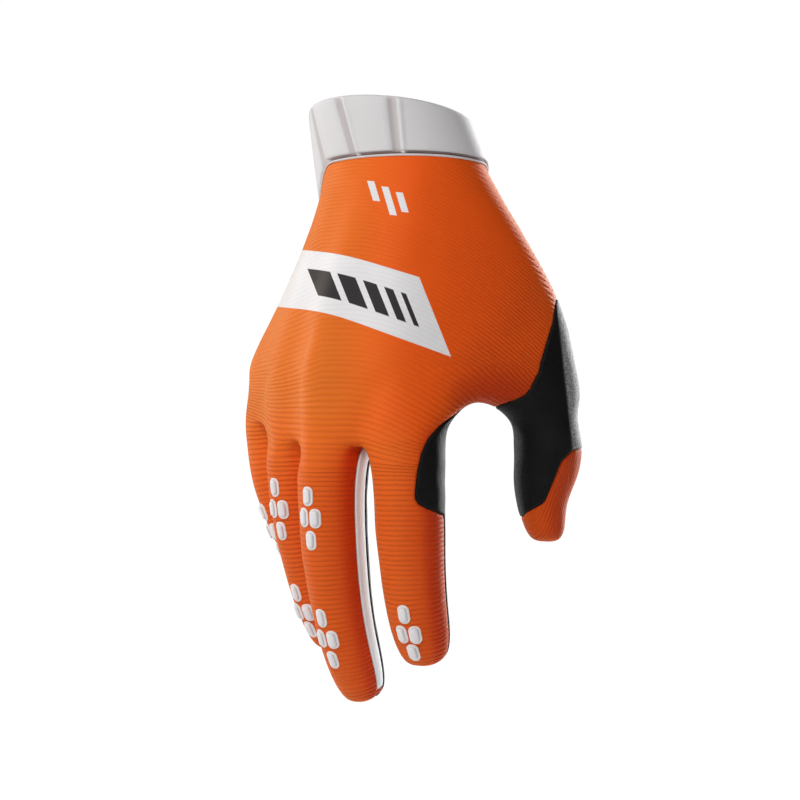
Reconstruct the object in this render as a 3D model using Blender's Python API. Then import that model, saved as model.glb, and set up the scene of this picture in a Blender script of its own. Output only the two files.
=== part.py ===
"""A right-hand motocross glove, held as a relaxed hand fills it, with the fingers hanging down.

Units are metres. +Z points up, out of the wrist opening, +X to the thumb side and -Y out of the back of the hand.
The origin is the centre of the wrist opening.

Below the cuff the glove is one smooth skin. A coarse net of points runs round the palm and splits into five
rings of eight, one for each finger, and is smoothed once. The seams are lines cut into that skin, and every panel
between seams is given a wall of its own. The cuff is a ring of its own above it, and the rubber pads are draped
over the fingers.
"""

import math
from collections import namedtuple

import bmesh
import bpy
from mathutils import Matrix, Vector
from mathutils.bvhtree import BVHTree

# The cuff: an oval ring whose rim and seam are both lower on the palm side.
CUFF_WIDTH = 0.0635
CUFF_DEPTH = 0.0490
CUFF_HEIGHT = 0.0181
CUFF_WALL = 0.0024
CUFF_PROUD = 0.0007
CUFF_LEAN = (0.0024, 0.0020)
RIM_WIDTH = 0.0612
RIM_DEPTH = 0.0480
RIM_SHIFT = -0.0017
GROOVE_DEPTH = 0.0009
RIM_TILT = (0.030, 0.248)
SEAM_TILT = (-0.020, 0.092)

# Below the seam, the cuff's palm side runs on further down, between these two angles from the back.
TONGUE_DROP = 0.0130
TONGUE_THUMB_ANGLE = 122
TONGUE_LITTLE_ANGLE = -53
TONGUE_SOFTNESS = 9

# The hand: from the wrist to the roots of the fingers, and from the little finger's root to the index's.
HAND_DROP = 0.1200
KNUCKLE_SPAN = 0.0655
FINGER_WIDTH = 0.0255
FINGER_LENGTH = 0.0920

# Walls, gaps between panels, and the gap below anything that lies on them
FABRIC_WALL = 0.0014
LEATHER_WALL = 0.0016
PANEL_GAP = 0.0003
SEAM_FLARE = 0.0004
FLARE_SHARE = 0.5
LAY_GAP = 0.0003
PIPING_RADIUS = 0.00055

# Rubber pads
PAD_WIDTH = 0.0044
PAD_LENGTH = 0.0068
PAD_RISE = 0.0012

# One row for each ray of the hand. x and y are its root's place in knuckle spans, and z is its drop as a share
# of the hand's. width, depth and length are shares of a finger's. The leans, in degrees, are those of its three
# bones towards its own palm side. splay is towards the thumb, and roll turns its back towards the little finger.
Ray = namedtuple("Ray", "name x y z width depth length leans splay roll")
RAYS = (
    Ray("little", -0.797, 0.030, 0.875, 0.80, 0.93, 0.665, (2, 16, 24), 2.5, 42),
    Ray("ring", -0.515, -0.170, 0.945, 0.86, 1.04, 0.885, (4, 14, 23), 0, 18),
    Ray("middle", -0.191, -0.336, 0.960, 0.93, 1.06, 1.055, (0, 10, 23), 0, 12),
    Ray("index", 0.227, -0.247, 0.955, 1.00, 1.00, 0.890, (0, 6, 19), 0.8, 0),
    Ray("thumb", 0.766, 0.312, 0.825, 0.96, 1.04, 0.570, (-2, 2, -9), -3, -38),
)
THUMB = len(RAYS) - 1
BONE_ENDS = (0.33, 0.66)
BEND_SHARE = 0.10

# Sections of a finger: how far along, and the width and depth there as shares of its own. across is how far
# the section lies towards the thumb side, as a share of a finger's width.
Section = namedtuple("Section", "along width depth across", defaults=(0.0,))
FINGER_SECTIONS = (
    Section(0.08, 1.02, 1.02),
    Section(0.24, 0.98, 0.97),
    Section(0.40, 0.97, 0.95),
    Section(0.56, 0.90, 0.88),
    Section(0.72, 0.86, 0.84),
    Section(0.87, 0.80, 0.76),
    Section(0.97, 0.58, 0.54),
)
THUMB_SECTIONS = (
    Section(0.14, 0.91, 1.00, -0.020),
    Section(0.34, 0.99, 0.98, 0.090),
    Section(0.54, 0.94, 0.90, 0.045),
    Section(0.73, 0.70, 0.75, 0.000),
    Section(0.89, 0.60, 0.58, 0.060),
    Section(0.98, 0.40, 0.38, 0.080),
)

# Sections of the hand between the wrist and the thumb's root. down is the share of that drop, and the others
# are how far each side of the section has gone from the wrist's oval to the five rays' outline.
HandSection = namedtuple("HandSection", "down little thumb back palm")
HAND_SECTIONS = (
    HandSection(0.00, 0.00, 0.00, 0.00, 0.00),
    HandSection(0.10, 0.04, 0.13, 0.06, 0.10),
    HandSection(0.25, 0.17, 0.36, 0.24, 0.30),
    HandSection(0.41, 0.36, 0.58, 0.44, 0.52),
    HandSection(0.58, 0.56, 0.79, 0.66, 0.72),
    HandSection(0.76, 0.80, 0.90, 0.88, 0.90),
    HandSection(0.91, 0.97, 0.96, 1.03, 0.98),
)

# The section at the thumb's root lies this far above the fingers' roots, and is this much thicker.
THUMB_LEVEL = Vector((0.0005, 0.0010, 0.0165))
THUMB_LEVEL_THICKNESS = 1.05
THUMB_LEVEL_FLATNESS = 0.3
CROTCH_DROP = 0.0035
BETWEEN_LEVELS = (0.33, 0.68)
CROTCH_EASE = 2.2

# The net: a ring of eight round each ray, by the angle from its back, and how much it shrinks when smoothed
RING = 8
RING_ANGLES = (-90, -50, 0, 50, 90, 128, 180, -128)
RING_SIDES = (0.0, 0.5, 1.0, 0.5, 0.0, -0.5, -1.0, -0.5)
SMOOTHING_LOSS = 1.075
FINGERS_RING = 20
HAND_RING = 24
CROTCH = 10

# Seams, as levels from the middle of the back (1) over the side (0) to the middle of the palm (-1)
FOURCHETTE_TOP = 0.03
FOURCHETTE_FOOT = -0.34
FOURCHETTE_END = 0.94
OUTER_SEAM = -0.22
THUMB_SIDE_SEAM = -0.80

# The palm's gusset reaches round the index finger: one row for each height, with the level it reaches there.
# It starts this many times the thumb root's height above the fingers' roots.
GUSSET_START = 1.2
Reach = namedtuple("Reach", "height level")
GUSSET = (
    Reach(-0.860, OUTER_SEAM),
    Reach(-0.905, 0.12),
    Reach(-0.945, 0.33),
    Reach(-0.990, 0.47),
    Reach(-1.045, 0.55),
    Reach(-1.112, 0.60),
    Reach(-1.127, 0.58),
    Reach(-1.137, 0.52),
    Reach(-1.147, 0.38),
    Reach(-1.158, 0.16),
    Reach(-1.168, OUTER_SEAM),
)

# The thumb's two seams, seen from the front corner: heights as shares of the hand's drop, and reaches to that
# side in knuckle spans
SEAM_FACING = 30
THUMB_SEAM = (
    Reach(-0.500, 0.930),
    Reach(-0.545, 0.868),
    Reach(-0.613, 0.847),
    Reach(-0.702, 0.794),
    Reach(-0.762, 0.766),
    Reach(-0.822, 0.700),
    Reach(-0.838, 0.640),
    Reach(-0.858, 0.540),
    Reach(-0.900, 0.450),
)
TIP_SEAM = (
    Reach(-1.210, 0.640),
    Reach(-1.165, 0.705),
    Reach(-1.135, 0.800),
    Reach(-1.070, 0.850),
    Reach(-1.015, 0.890),
    Reach(-0.980, 0.960),
)

# The cuff's grooves, by their angles from the back, and the rings of its wall: how far up from its foot, and
# how far in from its outermost surface as a share of the wall
GROOVES = (-50.0, -15.0, 25.0)
GROOVE_HALF_WIDTH = 1.7
GROOVE_BEVEL = 1.5
CUFF_STEP = 10
PIPING_STEP = 8
PIPING_SIDES = 5
CuffRow = namedtuple("CuffRow", "up inset grooved")
CUFF_ROWS = (
    CuffRow(0.00, 1.00, False),
    CuffRow(0.00, 0.36, False),
    CuffRow(0.055, 0.33, False),
    CuffRow(0.075, 0.02, True),
    CuffRow(0.52, 0.00, True),
    CuffRow(0.965, 0.04, True),
    CuffRow(0.99, 0.30, False),
    CuffRow(1.00, 0.66, False),
    CuffRow(0.99, 1.00, False),
    CuffRow(0.50, 1.00, False),
)

# Where the pads lie: the finger, how far along it, and the angle from its back
PadGroup = namedtuple("PadGroup", "name ray along angle")
PAD_GROUPS = (
    PadGroup("little", 0, 0.68, 2),
    PadGroup("ring_upper", 1, 0.30, 2),
    PadGroup("ring_lower", 1, 0.75, 2),
    PadGroup("middle_upper", 2, 0.265, 2),
    PadGroup("middle_lower", 2, 0.685, 1),
    PadGroup("index", 3, 0.79, 4),
)
PadPlace = namedtuple("PadPlace", "name across down")
PAD_PLACES = (
    PadPlace("top", -0.05, -1.04),
    PadPlace("little_side", -0.58, 0.0),
    PadPlace("thumb_side", 0.58, 0.03),
    PadPlace("foot", 0.05, 1.06),
)
# A pad's rings, as shares of its size and of its height, and its outline's points round each half circle
PadRow = namedtuple("PadRow", "size up")
PAD_ROWS = (PadRow(1.0, 0.0), PadRow(0.98, 0.45), PadRow(0.66, 1.0))
PAD_ARC_POINTS = 4

MaterialLook = namedtuple("MaterialLook", "colour roughness")
ORANGE = MaterialLook((0.80, 0.14, 0.02), 0.75)
BLACK = MaterialLook((0.012, 0.012, 0.013), 0.65)
WHITE = MaterialLook((0.74, 0.73, 0.74), 0.60)
RUBBER = MaterialLook((0.78, 0.76, 0.76), 0.45)
SHARP_ANGLE = 50

LITTLE_SHARE = 0.14
BACK, PALM, FOURCHETTE, WRAP, TIP = range(5)
HAND_REGION = len(RAYS)
SKIN_LEVELS = 1


def clamped_step(x):
    """A soft step from 0 to 1."""
    x = max(0.0, min(1.0, x))
    return x * x * (3 - 2 * x)


def table_value(rows, at):
    """The second column of a table at a value of its first, straight between rows."""
    rows = sorted(rows)
    if at <= rows[0][0]:
        return rows[0][1]
    for low, high in zip(rows, rows[1:]):
        if at <= high[0]:
            return low[1] + (high[1] - low[1]) * (at - low[0]) / (high[0] - low[0])
    return rows[-1][1]


def oval_point(angle, width, depth):
    """A point of an oval: angle 0 is the middle of the back and 90 the thumb side."""
    turn = math.radians(angle)
    return Vector((width / 2 * math.sin(turn), -depth / 2 * math.cos(turn), 0.0))


def tongue_drop(angle):
    """How far the seam lies lower at an angle, where the cuff's palm side runs on."""
    angle = (angle + 180) % 360 - 180
    if angle > 0:
        past = angle - TONGUE_THUMB_ANGLE
    else:
        past = TONGUE_LITTLE_ANGLE - angle
    return TONGUE_DROP * clamped_step((past + TONGUE_SOFTNESS) / (2 * TONGUE_SOFTNESS))


def seam_point(angle, proud=0.0, tongue=1.0):
    """A point of the seam below the cuff."""
    place = oval_point(angle, CUFF_WIDTH + 2 * proud, CUFF_DEPTH + 2 * proud)
    drop = SEAM_TILT[0] * place.x + SEAM_TILT[1] * place.y + CUFF_HEIGHT + tongue * tongue_drop(angle)
    return Vector((place.x + CUFF_LEAN[0], place.y + CUFF_LEAN[1], -drop))


def ray_root(ray):
    return Vector((ray.x * KNUCKLE_SPAN, ray.y * KNUCKLE_SPAN, -ray.z * HAND_DROP))


def ray_turn(ray, lean):
    """Turns a section that faces straight down to the direction of its bone."""
    roll = Matrix.Rotation(math.radians(-ray.roll), 3, "Z")
    splay = Matrix.Rotation(math.radians(-ray.splay), 3, "Y")
    return roll @ splay @ Matrix.Rotation(math.radians(lean), 3, "X")


def ray_line(ray, along):
    """The ray's middle point at a share of its length, and the lean there."""
    point = ray_root(ray)
    length = ray.length * FINGER_LENGTH
    lean = ray.leans[0]
    for start, end, bone_lean in zip((0.0, *BONE_ENDS), (*BONE_ENDS, 1.0), ray.leans):
        if along <= start:
            break
        step = (min(along, end) - start) * length
        point = point + ray_turn(ray, bone_lean) @ Vector((0, 0, -step))
        lean = bone_lean
    for joint, end in enumerate(BONE_ENDS):
        if abs(along - end) < BEND_SHARE:
            share = (along - end + BEND_SHARE) / (2 * BEND_SHARE)
            lean = ray.leans[joint] * (1 - share) + ray.leans[joint + 1] * share
    return point, lean


def ray_ring(ray, section):
    """The eight points of a ray's net at a section."""
    point, lean = ray_line(ray, section.along)
    turn = ray_turn(ray, lean)
    width = ray.width * FINGER_WIDTH * section.width * SMOOTHING_LOSS
    depth = ray.depth * FINGER_WIDTH * section.depth * SMOOTHING_LOSS
    point += turn @ Vector((section.across * FINGER_WIDTH, 0, 0))
    return [point + turn @ oval_point(angle, width, depth) for angle in RING_ANGLES]


class Net:
    """The coarse net, with four values at every point that the smoothing carries along.

    side is the level between back and palm, edge and foot are the levels of the seams there, and run is the
    distance down the hand and along the fingers.
    """

    def __init__(self):
        self.mesh = bmesh.new()
        floats = self.mesh.verts.layers.float
        self.side, self.edge, self.foot, self.run = [floats.new(n) for n in ("side", "edge", "foot", "run")]

    def add(self, place, side, run, inner=False, outer=OUTER_SEAM):
        vert = self.mesh.verts.new(place)
        vert[self.side] = side
        vert[self.run] = run
        vert[self.edge] = FOURCHETTE_TOP if inner else outer
        vert[self.foot] = FOURCHETTE_FOOT if inner else outer
        return vert

    def bridge(self, upper, lower, region):
        count = len(upper)
        for column in range(count):
            after = (column + 1) % count
            corners = (upper[column], upper[after], lower[after], lower[column])
            self.mesh.faces.new(corners).material_index = region

    def cap(self, ring, run, region):
        """Closes a ring of eight with four faces round one middle point."""
        middle = sum((vert.co for vert in ring), Vector()) / RING
        tip = self.add(middle, 0.0, run)
        for column in range(0, RING, 2):
            corners = (ring[column], ring[column + 1], ring[(column + 2) % RING], tip)
            self.mesh.faces.new(corners).material_index = region

    def ray(self, number, ring, sections, start):
        """A finger or the thumb, from its first ring to its tip."""
        ray = RAYS[number]
        length = ray.length * FINGER_LENGTH
        for section in sections:
            run = start + section.along * length
            places = ray_ring(ray, section)
            lower = [
                self.add(place, RING_SIDES[k], run, inner_place(number, k)) for k, place in enumerate(places)
            ]
            self.bridge(ring, lower, number)
            ring = lower
        self.cap(ring, start + length, number)


def inner_place(number, place):
    """Whether a place of a finger's ring faces another finger."""
    if number == THUMB:
        return False
    return (place in (3, 4, 5) and number < THUMB - 1) or (place in (7, 0, 1) and number > 0)


def fingers_column(number, place):
    """Which point of the ring round all four fingers a finger's place is, or None inside a web."""
    if place in (1, 2, 3):
        return 2 * number + place
    if place in (5, 6, 7):
        return 12 - 2 * number + place
    if place == 0 and number == 0:
        return 0
    if place == 4 and number == THUMB - 1:
        return 10
    return None


def fingers_side(column):
    """The level of a point in the ring round all four fingers."""
    if column in (1, 9):
        return 0.5
    if column in (0, 10):
        return 0.0
    if column in (11, 19):
        return -0.5
    return 1.0 if column < 10 else -1.0


def finger_roots(net):
    """The four fingers' first rings, which share the three points of each web, and the ring round them all."""
    places = [ray_ring(ray, Section(0.0, 1.0, 1.0)) for ray in RAYS[:THUMB]]
    rings = [[None] * RING for _ in places]
    for number in range(THUMB - 1):
        for mine, other in ((3, 1), (4, 0), (5, 7)):
            place = (places[number][mine] + places[number + 1][other]) / 2
            vert = net.add(place, RING_SIDES[mine], 0.0, True)
            rings[number][mine] = vert
            rings[number + 1][other] = vert
    around = [None] * FINGERS_RING
    for number, ring in enumerate(rings):
        for place in range(RING):
            if ring[place] is None:
                inner = inner_place(number, place)
                ring[place] = net.add(places[number][place], RING_SIDES[place], 0.0, inner)
            column = fingers_column(number, place)
            if column is not None:
                around[column] = ring[place]
    return rings, around


def thumb_level_ring(net, around):
    """The ring round the whole hand at the thumb's root, and the point inside the thumb's web."""
    raised = [vert.co + THUMB_LEVEL for vert in around]
    middle = sum(raised, Vector()) / len(raised)
    for place in raised:
        place.y = middle.y + (place.y - middle.y) * THUMB_LEVEL_THICKNESS
        place.z = middle.z + (place.z - middle.z) * THUMB_LEVEL_FLATNESS
    thumb = ray_ring(RAYS[THUMB], Section(0.0, 1.0, 1.0))
    before = (raised[CROTCH - 1] + thumb[1]) / 2
    after = (raised[CROTCH + 1] + thumb[7]) / 2
    places = raised[: CROTCH - 1] + [before] + thumb[2:7] + [after] + raised[CROTCH + 2 :]
    web = (raised[CROTCH] + thumb[0]) / 2 - Vector((0, 0, CROTCH_DROP))
    run = -THUMB_LEVEL.z
    ring = [net.add(place, hand_side(c), run, False, hand_seam(c)) for c, place in enumerate(places)]
    return ring, net.add(web, 0.0, run)


def hand_side(column):
    """The level of a point in the ring round the whole hand."""
    if column in (1, 11):
        return 0.5
    if column in (0, 12):
        return 0.0
    if column in (13, HAND_RING - 1):
        return -0.5
    return 1.0 if column < 11 else -1.0


def hand_seam(column):
    """The level of the seam between back and palm in the ring round the whole hand."""
    return THUMB_SIDE_SEAM if 8 < column < 16 else OUTER_SEAM


def hand_net():
    """The whole net from the seam below the cuff to the finger tips."""
    net = Net()
    rings, around = finger_roots(net)
    hand, web = thumb_level_ring(net, around)

    fingers = hand[:CROTCH] + [web] + hand[CROTCH + 5 :]
    upper = fingers
    for share in BETWEEN_LEVELS:
        row = []
        for column, (above, below) in enumerate(zip(fingers, around)):
            near_crotch = abs(column - CROTCH) < 2
            sideways = 1 - (1 - share) ** CROTCH_EASE if near_crotch else share
            place = above.co.lerp(below.co, sideways)
            place.z = above.co.z + (below.co.z - above.co.z) * share
            row.append(net.add(place, fingers_side(column), -THUMB_LEVEL.z * (1 - share)))
        net.bridge(upper, row, HAND_REGION)
        upper = row
    net.bridge(upper, around, HAND_REGION)

    for number, ring in enumerate(rings):
        net.ray(number, ring, FINGER_SECTIONS, 0.0)
    net.ray(THUMB, [web] + hand[CROTCH - 1 : CROTCH + 6], THUMB_SECTIONS, -THUMB_LEVEL.z)

    upper = None
    top_run = seam_point(0).z - sum((vert.co.z for vert in hand), 0.0) / HAND_RING + THUMB_LEVEL.z
    for section in HAND_SECTIONS:
        row = []
        for column in range(HAND_RING):
            angle = 360 / HAND_RING * column - 90
            across = math.sin(math.radians(angle))
            over = math.cos(math.radians(angle))
            share = (section.thumb if across > 0 else section.little) * across**2
            share += (section.back if over > 0 else section.palm) * over**2
            start = seam_point(angle)
            goal = hand[column].co
            place = seam_point(angle, 0.0, 0.0).lerp(goal, share)
            place.z = start.z + (goal.z - start.z) * section.down
            run = -top_run + (top_run - THUMB_LEVEL.z) * section.down
            row.append(net.add(place, hand_side(column), run, False, hand_seam(column)))
        if upper:
            net.bridge(upper, row, HAND_REGION)
        upper = row
    net.bridge(upper, hand, HAND_REGION)
    bmesh.ops.recalc_face_normals(net.mesh, faces=net.mesh.faces)
    return net.mesh


def new_object(name, mesh):
    thing = bpy.data.objects.new(name, mesh)
    bpy.context.scene.collection.objects.link(thing)
    return thing


def smooth_skin(levels):
    """The net, smoothed, as a fresh mesh for cutting, with the way out of the skin kept at every point."""
    mesh = bpy.data.meshes.new("skin")
    hand_net().to_mesh(mesh)
    thing = new_object("skin", mesh)
    smoothing = thing.modifiers.new("smoothing", "SUBSURF")
    smoothing.levels = levels
    smoothing.render_levels = levels
    ready = thing.evaluated_get(bpy.context.evaluated_depsgraph_get())
    skin = bmesh.new()
    skin.from_mesh(ready.to_mesh())
    ready.to_mesh_clear()
    bpy.data.objects.remove(thing)
    skin.normal_update()
    outward = skin.verts.layers.float_vector.new("outward")
    for vert in skin.verts:
        vert[outward] = vert.normal
    return skin


def pull_onto_line(skin, edges, level):
    """Moves every point that lies close to the line onto it, so that no sliver is left beside it."""
    pulls = {}
    for edge in edges:
        one, two = edge.verts
        if level[one] * level[two] >= 0:
            continue
        share = level[one] / (level[one] - level[two])
        for vert, other, part in ((one, two, share), (two, one, 1 - share)):
            if part < LITTLE_SHARE and part < pulls.get(vert, (1.0, None))[0]:
                pulls[vert] = (part, other.co.copy())
    for vert, (part, place) in pulls.items():
        vert.co = vert.co.lerp(place, part)
        level[vert] = 0.0


def divide(face, level):
    """Divides a face between its points on the line, until no part has points on both sides."""
    verts = list(face.verts)
    signs = [(level[v] > 0) - (level[v] < 0) for v in verts]
    if not (1 in signs and -1 in signs):
        return
    on_line = [i for i, sign in enumerate(signs) if sign == 0]
    for i in on_line:
        for j in on_line:
            inside = {s for s in signs[i + 1 : j] if s}
            outside = {s for s in signs[j + 1 :] + signs[:i] if s}
            if j > i + 1 and len(inside) == 1 and outside and inside != outside:
                other, _ = bmesh.utils.face_split(face, verts[i], verts[j])
                divide(face, level)
                divide(other, level)
                return


def cut(skin, faces, value):
    """Cuts faces along the line where value is nil. Returns the level of every point."""
    faces = list(faces)
    edges = list(dict.fromkeys(edge for face in faces for edge in face.edges))
    level = {vert: value(vert) for face in faces for vert in face.verts}
    pull_onto_line(skin, edges, level)
    for edge in edges:
        one, two = edge.verts
        if level[one] * level[two] < 0:
            share = level[one] / (level[one] - level[two])
            _, fresh = bmesh.utils.edge_split(edge, one, share)
            level[fresh] = 0.0
    for face in faces:
        divide(face, level)
    return level


def above_line(face, level):
    return sum(level.get(vert, 0.0) for vert in face.verts) > 0


def seam_reach(vert):
    """How far a point lies towards the side that the thumb's seams are drawn on, in knuckle spans."""
    turn = math.radians(SEAM_FACING)
    return (vert.co.x * math.cos(turn) + vert.co.y * math.sin(turn)) / KNUCKLE_SPAN


def panelled_skin(levels):
    """The smoothed skin with its seams cut and the panel of every face set."""
    skin = smooth_skin(levels)
    floats = skin.verts.layers.float
    side, edge, foot, run = [floats[name] for name in ("side", "edge", "foot", "run")]
    panel = skin.faces.layers.int.new("panel")
    index = THUMB - 1
    gusset_run = -THUMB_LEVEL.z * GUSSET_START

    def back_seam(vert):
        height = vert.co.z / HAND_DROP
        beside_index = vert.co.x > RAYS[index].x * KNUCKLE_SPAN and vert[run] > gusset_run
        if beside_index and vert[edge] < 0:
            return vert[side] - max(vert[edge], table_value(GUSSET, height))
        return vert[side] - vert[edge]

    level = cut(skin, skin.faces, back_seam)
    for face in skin.faces:
        face[panel] = BACK if above_line(face, level) else PALM
    lower = [f for f in skin.faces if f[panel] == PALM and f.material_index != THUMB]
    level = cut(skin, lower, lambda vert: vert[side] - vert[foot])
    for face in skin.faces:
        if face[panel] == PALM and face.material_index != THUMB and above_line(face, level):
            if any(vert[edge] > 0 for vert in face.verts):
                face[panel] = FOURCHETTE
    for number in range(THUMB):
        end = FOURCHETTE_END * RAYS[number].length * FINGER_LENGTH
        strip = [f for f in skin.faces if f.material_index == number and f[panel] == FOURCHETTE]
        level = cut(skin, strip, lambda vert: end - vert[run])
        for face in skin.faces:
            if face.material_index == number and face[panel] == FOURCHETTE and not above_line(face, level):
                face[panel] = BACK

    on_thumb = [f for f in skin.faces if f.material_index in (THUMB, HAND_REGION)]
    level = cut(
        skin, on_thumb, lambda vert: seam_reach(vert) - table_value(THUMB_SEAM, vert.co.z / HAND_DROP)
    )
    for face in skin.faces:
        if face.material_index in (THUMB, HAND_REGION) and above_line(face, level):
            face[panel] = WRAP
    wrap = [f for f in skin.faces if f[panel] == WRAP]
    heights = [(row.level, row.height) for row in TIP_SEAM]
    level = cut(skin, wrap, lambda vert: table_value(heights, seam_reach(vert)) - vert.co.z / HAND_DROP)
    for face in skin.faces:
        if face[panel] == WRAP and above_line(face, level):
            face[panel] = TIP
    skin.normal_update()
    return skin


def inward(vert, faces):
    """The way from a panel's border into the panel, square to the border, and how far its inner wall may go.

    Inside the panel the way is nil. Beside short edges the inner wall stays closer to the border.
    """
    way = Vector()
    flare = SEAM_FLARE
    for edge in vert.link_edges:
        mine = [face for face in edge.link_faces if face in faces]
        if mine:
            flare = min(flare, edge.calc_length() * FLARE_SHARE)
        if len(mine) == 1:
            along = (edge.verts[1].co - edge.verts[0].co).normalized()
            out = mine[0].calc_center_median() - edge.verts[0].co
            square = out - along * out.dot(along)
            way += square.normalized()
    return way.normalized(), flare


def panel_body(skin, faces, wall):
    """A panel of the skin as a closed body, pulled back from its borders by half a gap."""
    outward = skin.verts.layers.float_vector["outward"]
    body = bmesh.new()
    faces = set(faces)
    verts = list(dict.fromkeys(vert for face in faces for vert in face.verts))
    outer = {}
    inner = {}
    for vert in sorted(verts, key=lambda v: v.index):
        way, flare = inward(vert, faces)
        outer[vert] = body.verts.new(vert.co + way * PANEL_GAP / 2)
        inner[vert] = body.verts.new(vert.co + way * (PANEL_GAP / 2 + flare) - vert[outward] * wall)
    for face in sorted(faces, key=lambda f: f.index):
        body.faces.new([outer[v] for v in face.verts])
        body.faces.new([inner[v] for v in reversed(face.verts)])
        for loop in face.loops:
            if len([f for f in loop.edge.link_faces if f in faces]) == 1:
                one = loop.vert
                two = loop.link_loop_next.vert
                body.faces.new((outer[two], outer[one], inner[one], inner[two]))
    body.normal_update()
    return body


def connected(faces):
    """Groups of faces that hang together by their edges."""
    left = set(faces)
    groups = []
    for first in faces:
        if first not in left:
            continue
        left.remove(first)
        group = [first]
        for face in group:
            for edge in face.edges:
                for other in edge.link_faces:
                    if other in left:
                        left.remove(other)
                        group.append(other)
        groups.append(group)
    return groups


def angle_of(place):
    """The angle of a point round the cuff, from the middle of the back."""
    return math.degrees(math.atan2(place.x - CUFF_LEAN[0], -(place.y - CUFF_LEAN[1])))


def seam_line(skin):
    """The points of the skin's open border, in order round the cuff."""
    border = [vert for vert in skin.verts if any(edge.is_boundary for edge in vert.link_edges)]
    return sorted((angle_of(vert.co), vert.co.copy()) for vert in border)


def on_seam(line, angle):
    """The point of the seam at an angle."""
    angle = (angle + 180) % 360 - 180
    first, last = line[0], line[-1]
    ring = [(last[0] - 360, last[1]), *line, (first[0] + 360, first[1])]
    for (low, start), (high, end) in zip(ring, ring[1:]):
        if low <= angle <= high:
            return start.lerp(end, (angle - low) / (high - low))
    return last[1]


def above_seam(line, angle, distance):
    """A point above the seam by a distance within the cuff's surface, and the outward way there."""
    along = on_seam(line, angle + CUFF_STEP / 2) - on_seam(line, angle - CUFF_STEP / 2)
    turn = math.radians(angle)
    outward = Vector((math.sin(turn) / CUFF_WIDTH, -math.cos(turn) / CUFF_DEPTH, 0)).normalized()
    return on_seam(line, angle) + outward.cross(along).normalized() * distance, outward


def rim_point(angle):
    place = oval_point(angle, RIM_WIDTH, RIM_DEPTH) + Vector((RIM_SHIFT, 0, 0))
    place.z = -RIM_TILT[0] * place.x - RIM_TILT[1] * place.y
    return place


def lofted(rows, closed_along=False):
    """A body from closed rings of points. Its ends are capped, unless the rings themselves close up."""
    body = bmesh.new()
    rings = [[body.verts.new(place) for place in row] for row in rows]
    pairs = list(zip(rings, rings[1:]))
    if closed_along:
        pairs.append((rings[-1], rings[0]))
    for one, two in pairs:
        count = len(one)
        for i in range(count):
            j = (i + 1) % count
            body.faces.new((one[i], one[j], two[j], two[i]))
    if not closed_along:
        body.faces.new(list(reversed(rings[0])))
        body.faces.new(rings[-1])
    bmesh.ops.recalc_face_normals(body, faces=body.faces)
    return body


def cuff_angles():
    """The angles of the cuff's columns, each with its share of the groove's depth."""
    columns = []
    for groove in GROOVES:
        reach = GROOVE_HALF_WIDTH + GROOVE_BEVEL
        columns += [(groove - reach, 0.0), (groove - GROOVE_HALF_WIDTH, 1.0)]
        columns += [(groove + GROOVE_HALF_WIDTH, 1.0), (groove + reach, 0.0)]
    for angle in range(-180, 180, CUFF_STEP):
        if all(abs(angle - other) > CUFF_STEP / 3 for other, _ in columns):
            columns.append((angle, 0.0))
    return sorted(columns)


def cuff_body(line):
    foot_gap = 2 * (PIPING_RADIUS + PANEL_GAP)
    rows = []
    for row in CUFF_ROWS:
        places = []
        for angle, groove in cuff_angles():
            foot, outward = above_seam(line, angle, foot_gap)
            place = foot.lerp(rim_point(angle), row.up) + outward * CUFF_PROUD
            inset = row.inset * CUFF_WALL
            if row.grooved:
                inset = max(inset, groove * GROOVE_DEPTH)
            places.append(place - outward * inset)
        rows.append(places)
    return lofted(rows, True)


def piping_body(line):
    """A thin cord along the seam."""
    rows = []
    for angle in range(-180, 180, PIPING_STEP):
        middle, outward = above_seam(line, angle, PIPING_RADIUS + PANEL_GAP)
        upward = (above_seam(line, angle, 2 * CUFF_HEIGHT)[0] - middle).normalized()
        ring = []
        for k in range(PIPING_SIDES):
            turn = math.radians(360 / PIPING_SIDES * k)
            ring.append(
                middle + (outward * math.cos(turn) + upward * math.sin(turn) - outward) * PIPING_RADIUS
            )
        rows.append(ring)
    return lofted(rows, True)


def pad_outline(size):
    """The outline of a pad: a bar with half round ends, in metres across and down."""
    radius = PAD_WIDTH / 2 * size
    straight = PAD_LENGTH / 2 - PAD_WIDTH / 2
    points = []
    for end in (0, 180):
        for k in range(PAD_ARC_POINTS):
            turn = math.radians(end + 180 * k / (PAD_ARC_POINTS - 1))
            points.append((radius * math.cos(turn), radius * math.sin(turn) + math.copysign(straight, 90 - end)))
    return points


def pad_body(surface, group, spot):
    """One pad with a flat underside, clear of the highest point of the skin below it."""
    ray = RAYS[group.ray]
    middle, lean = ray_line(ray, group.along + spot.down * PAD_LENGTH / (ray.length * FINGER_LENGTH))
    turn = ray_turn(ray, lean)
    group_way = (turn @ oval_point(group.angle, 2, 2)).normalized()
    radius = (surface.ray_cast(middle, group_way)[0] - middle).length
    angle = group.angle + math.degrees(spot.across * PAD_WIDTH / radius)
    outward = (turn @ oval_point(angle, 2, 2)).normalized()
    down = turn @ Vector((0, 0, -1))
    across = down.cross(outward).normalized()
    far = outward * FINGER_WIDTH
    places = [across * u + down * v for size in (1.0, 0.5, 0.0) for u, v in pad_outline(size)]
    heights = []
    for place in places:
        hit = surface.ray_cast(middle + far + place, -outward)[0]
        heights.append((hit - middle).dot(outward))
    base = middle + outward * (max(heights) + LAY_GAP)
    rows = []
    for row in PAD_ROWS:
        up = outward * PAD_RISE * row.up
        rows.append([base + across * u + down * v + up for u, v in pad_outline(row.size)])
    return lofted(rows)


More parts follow.
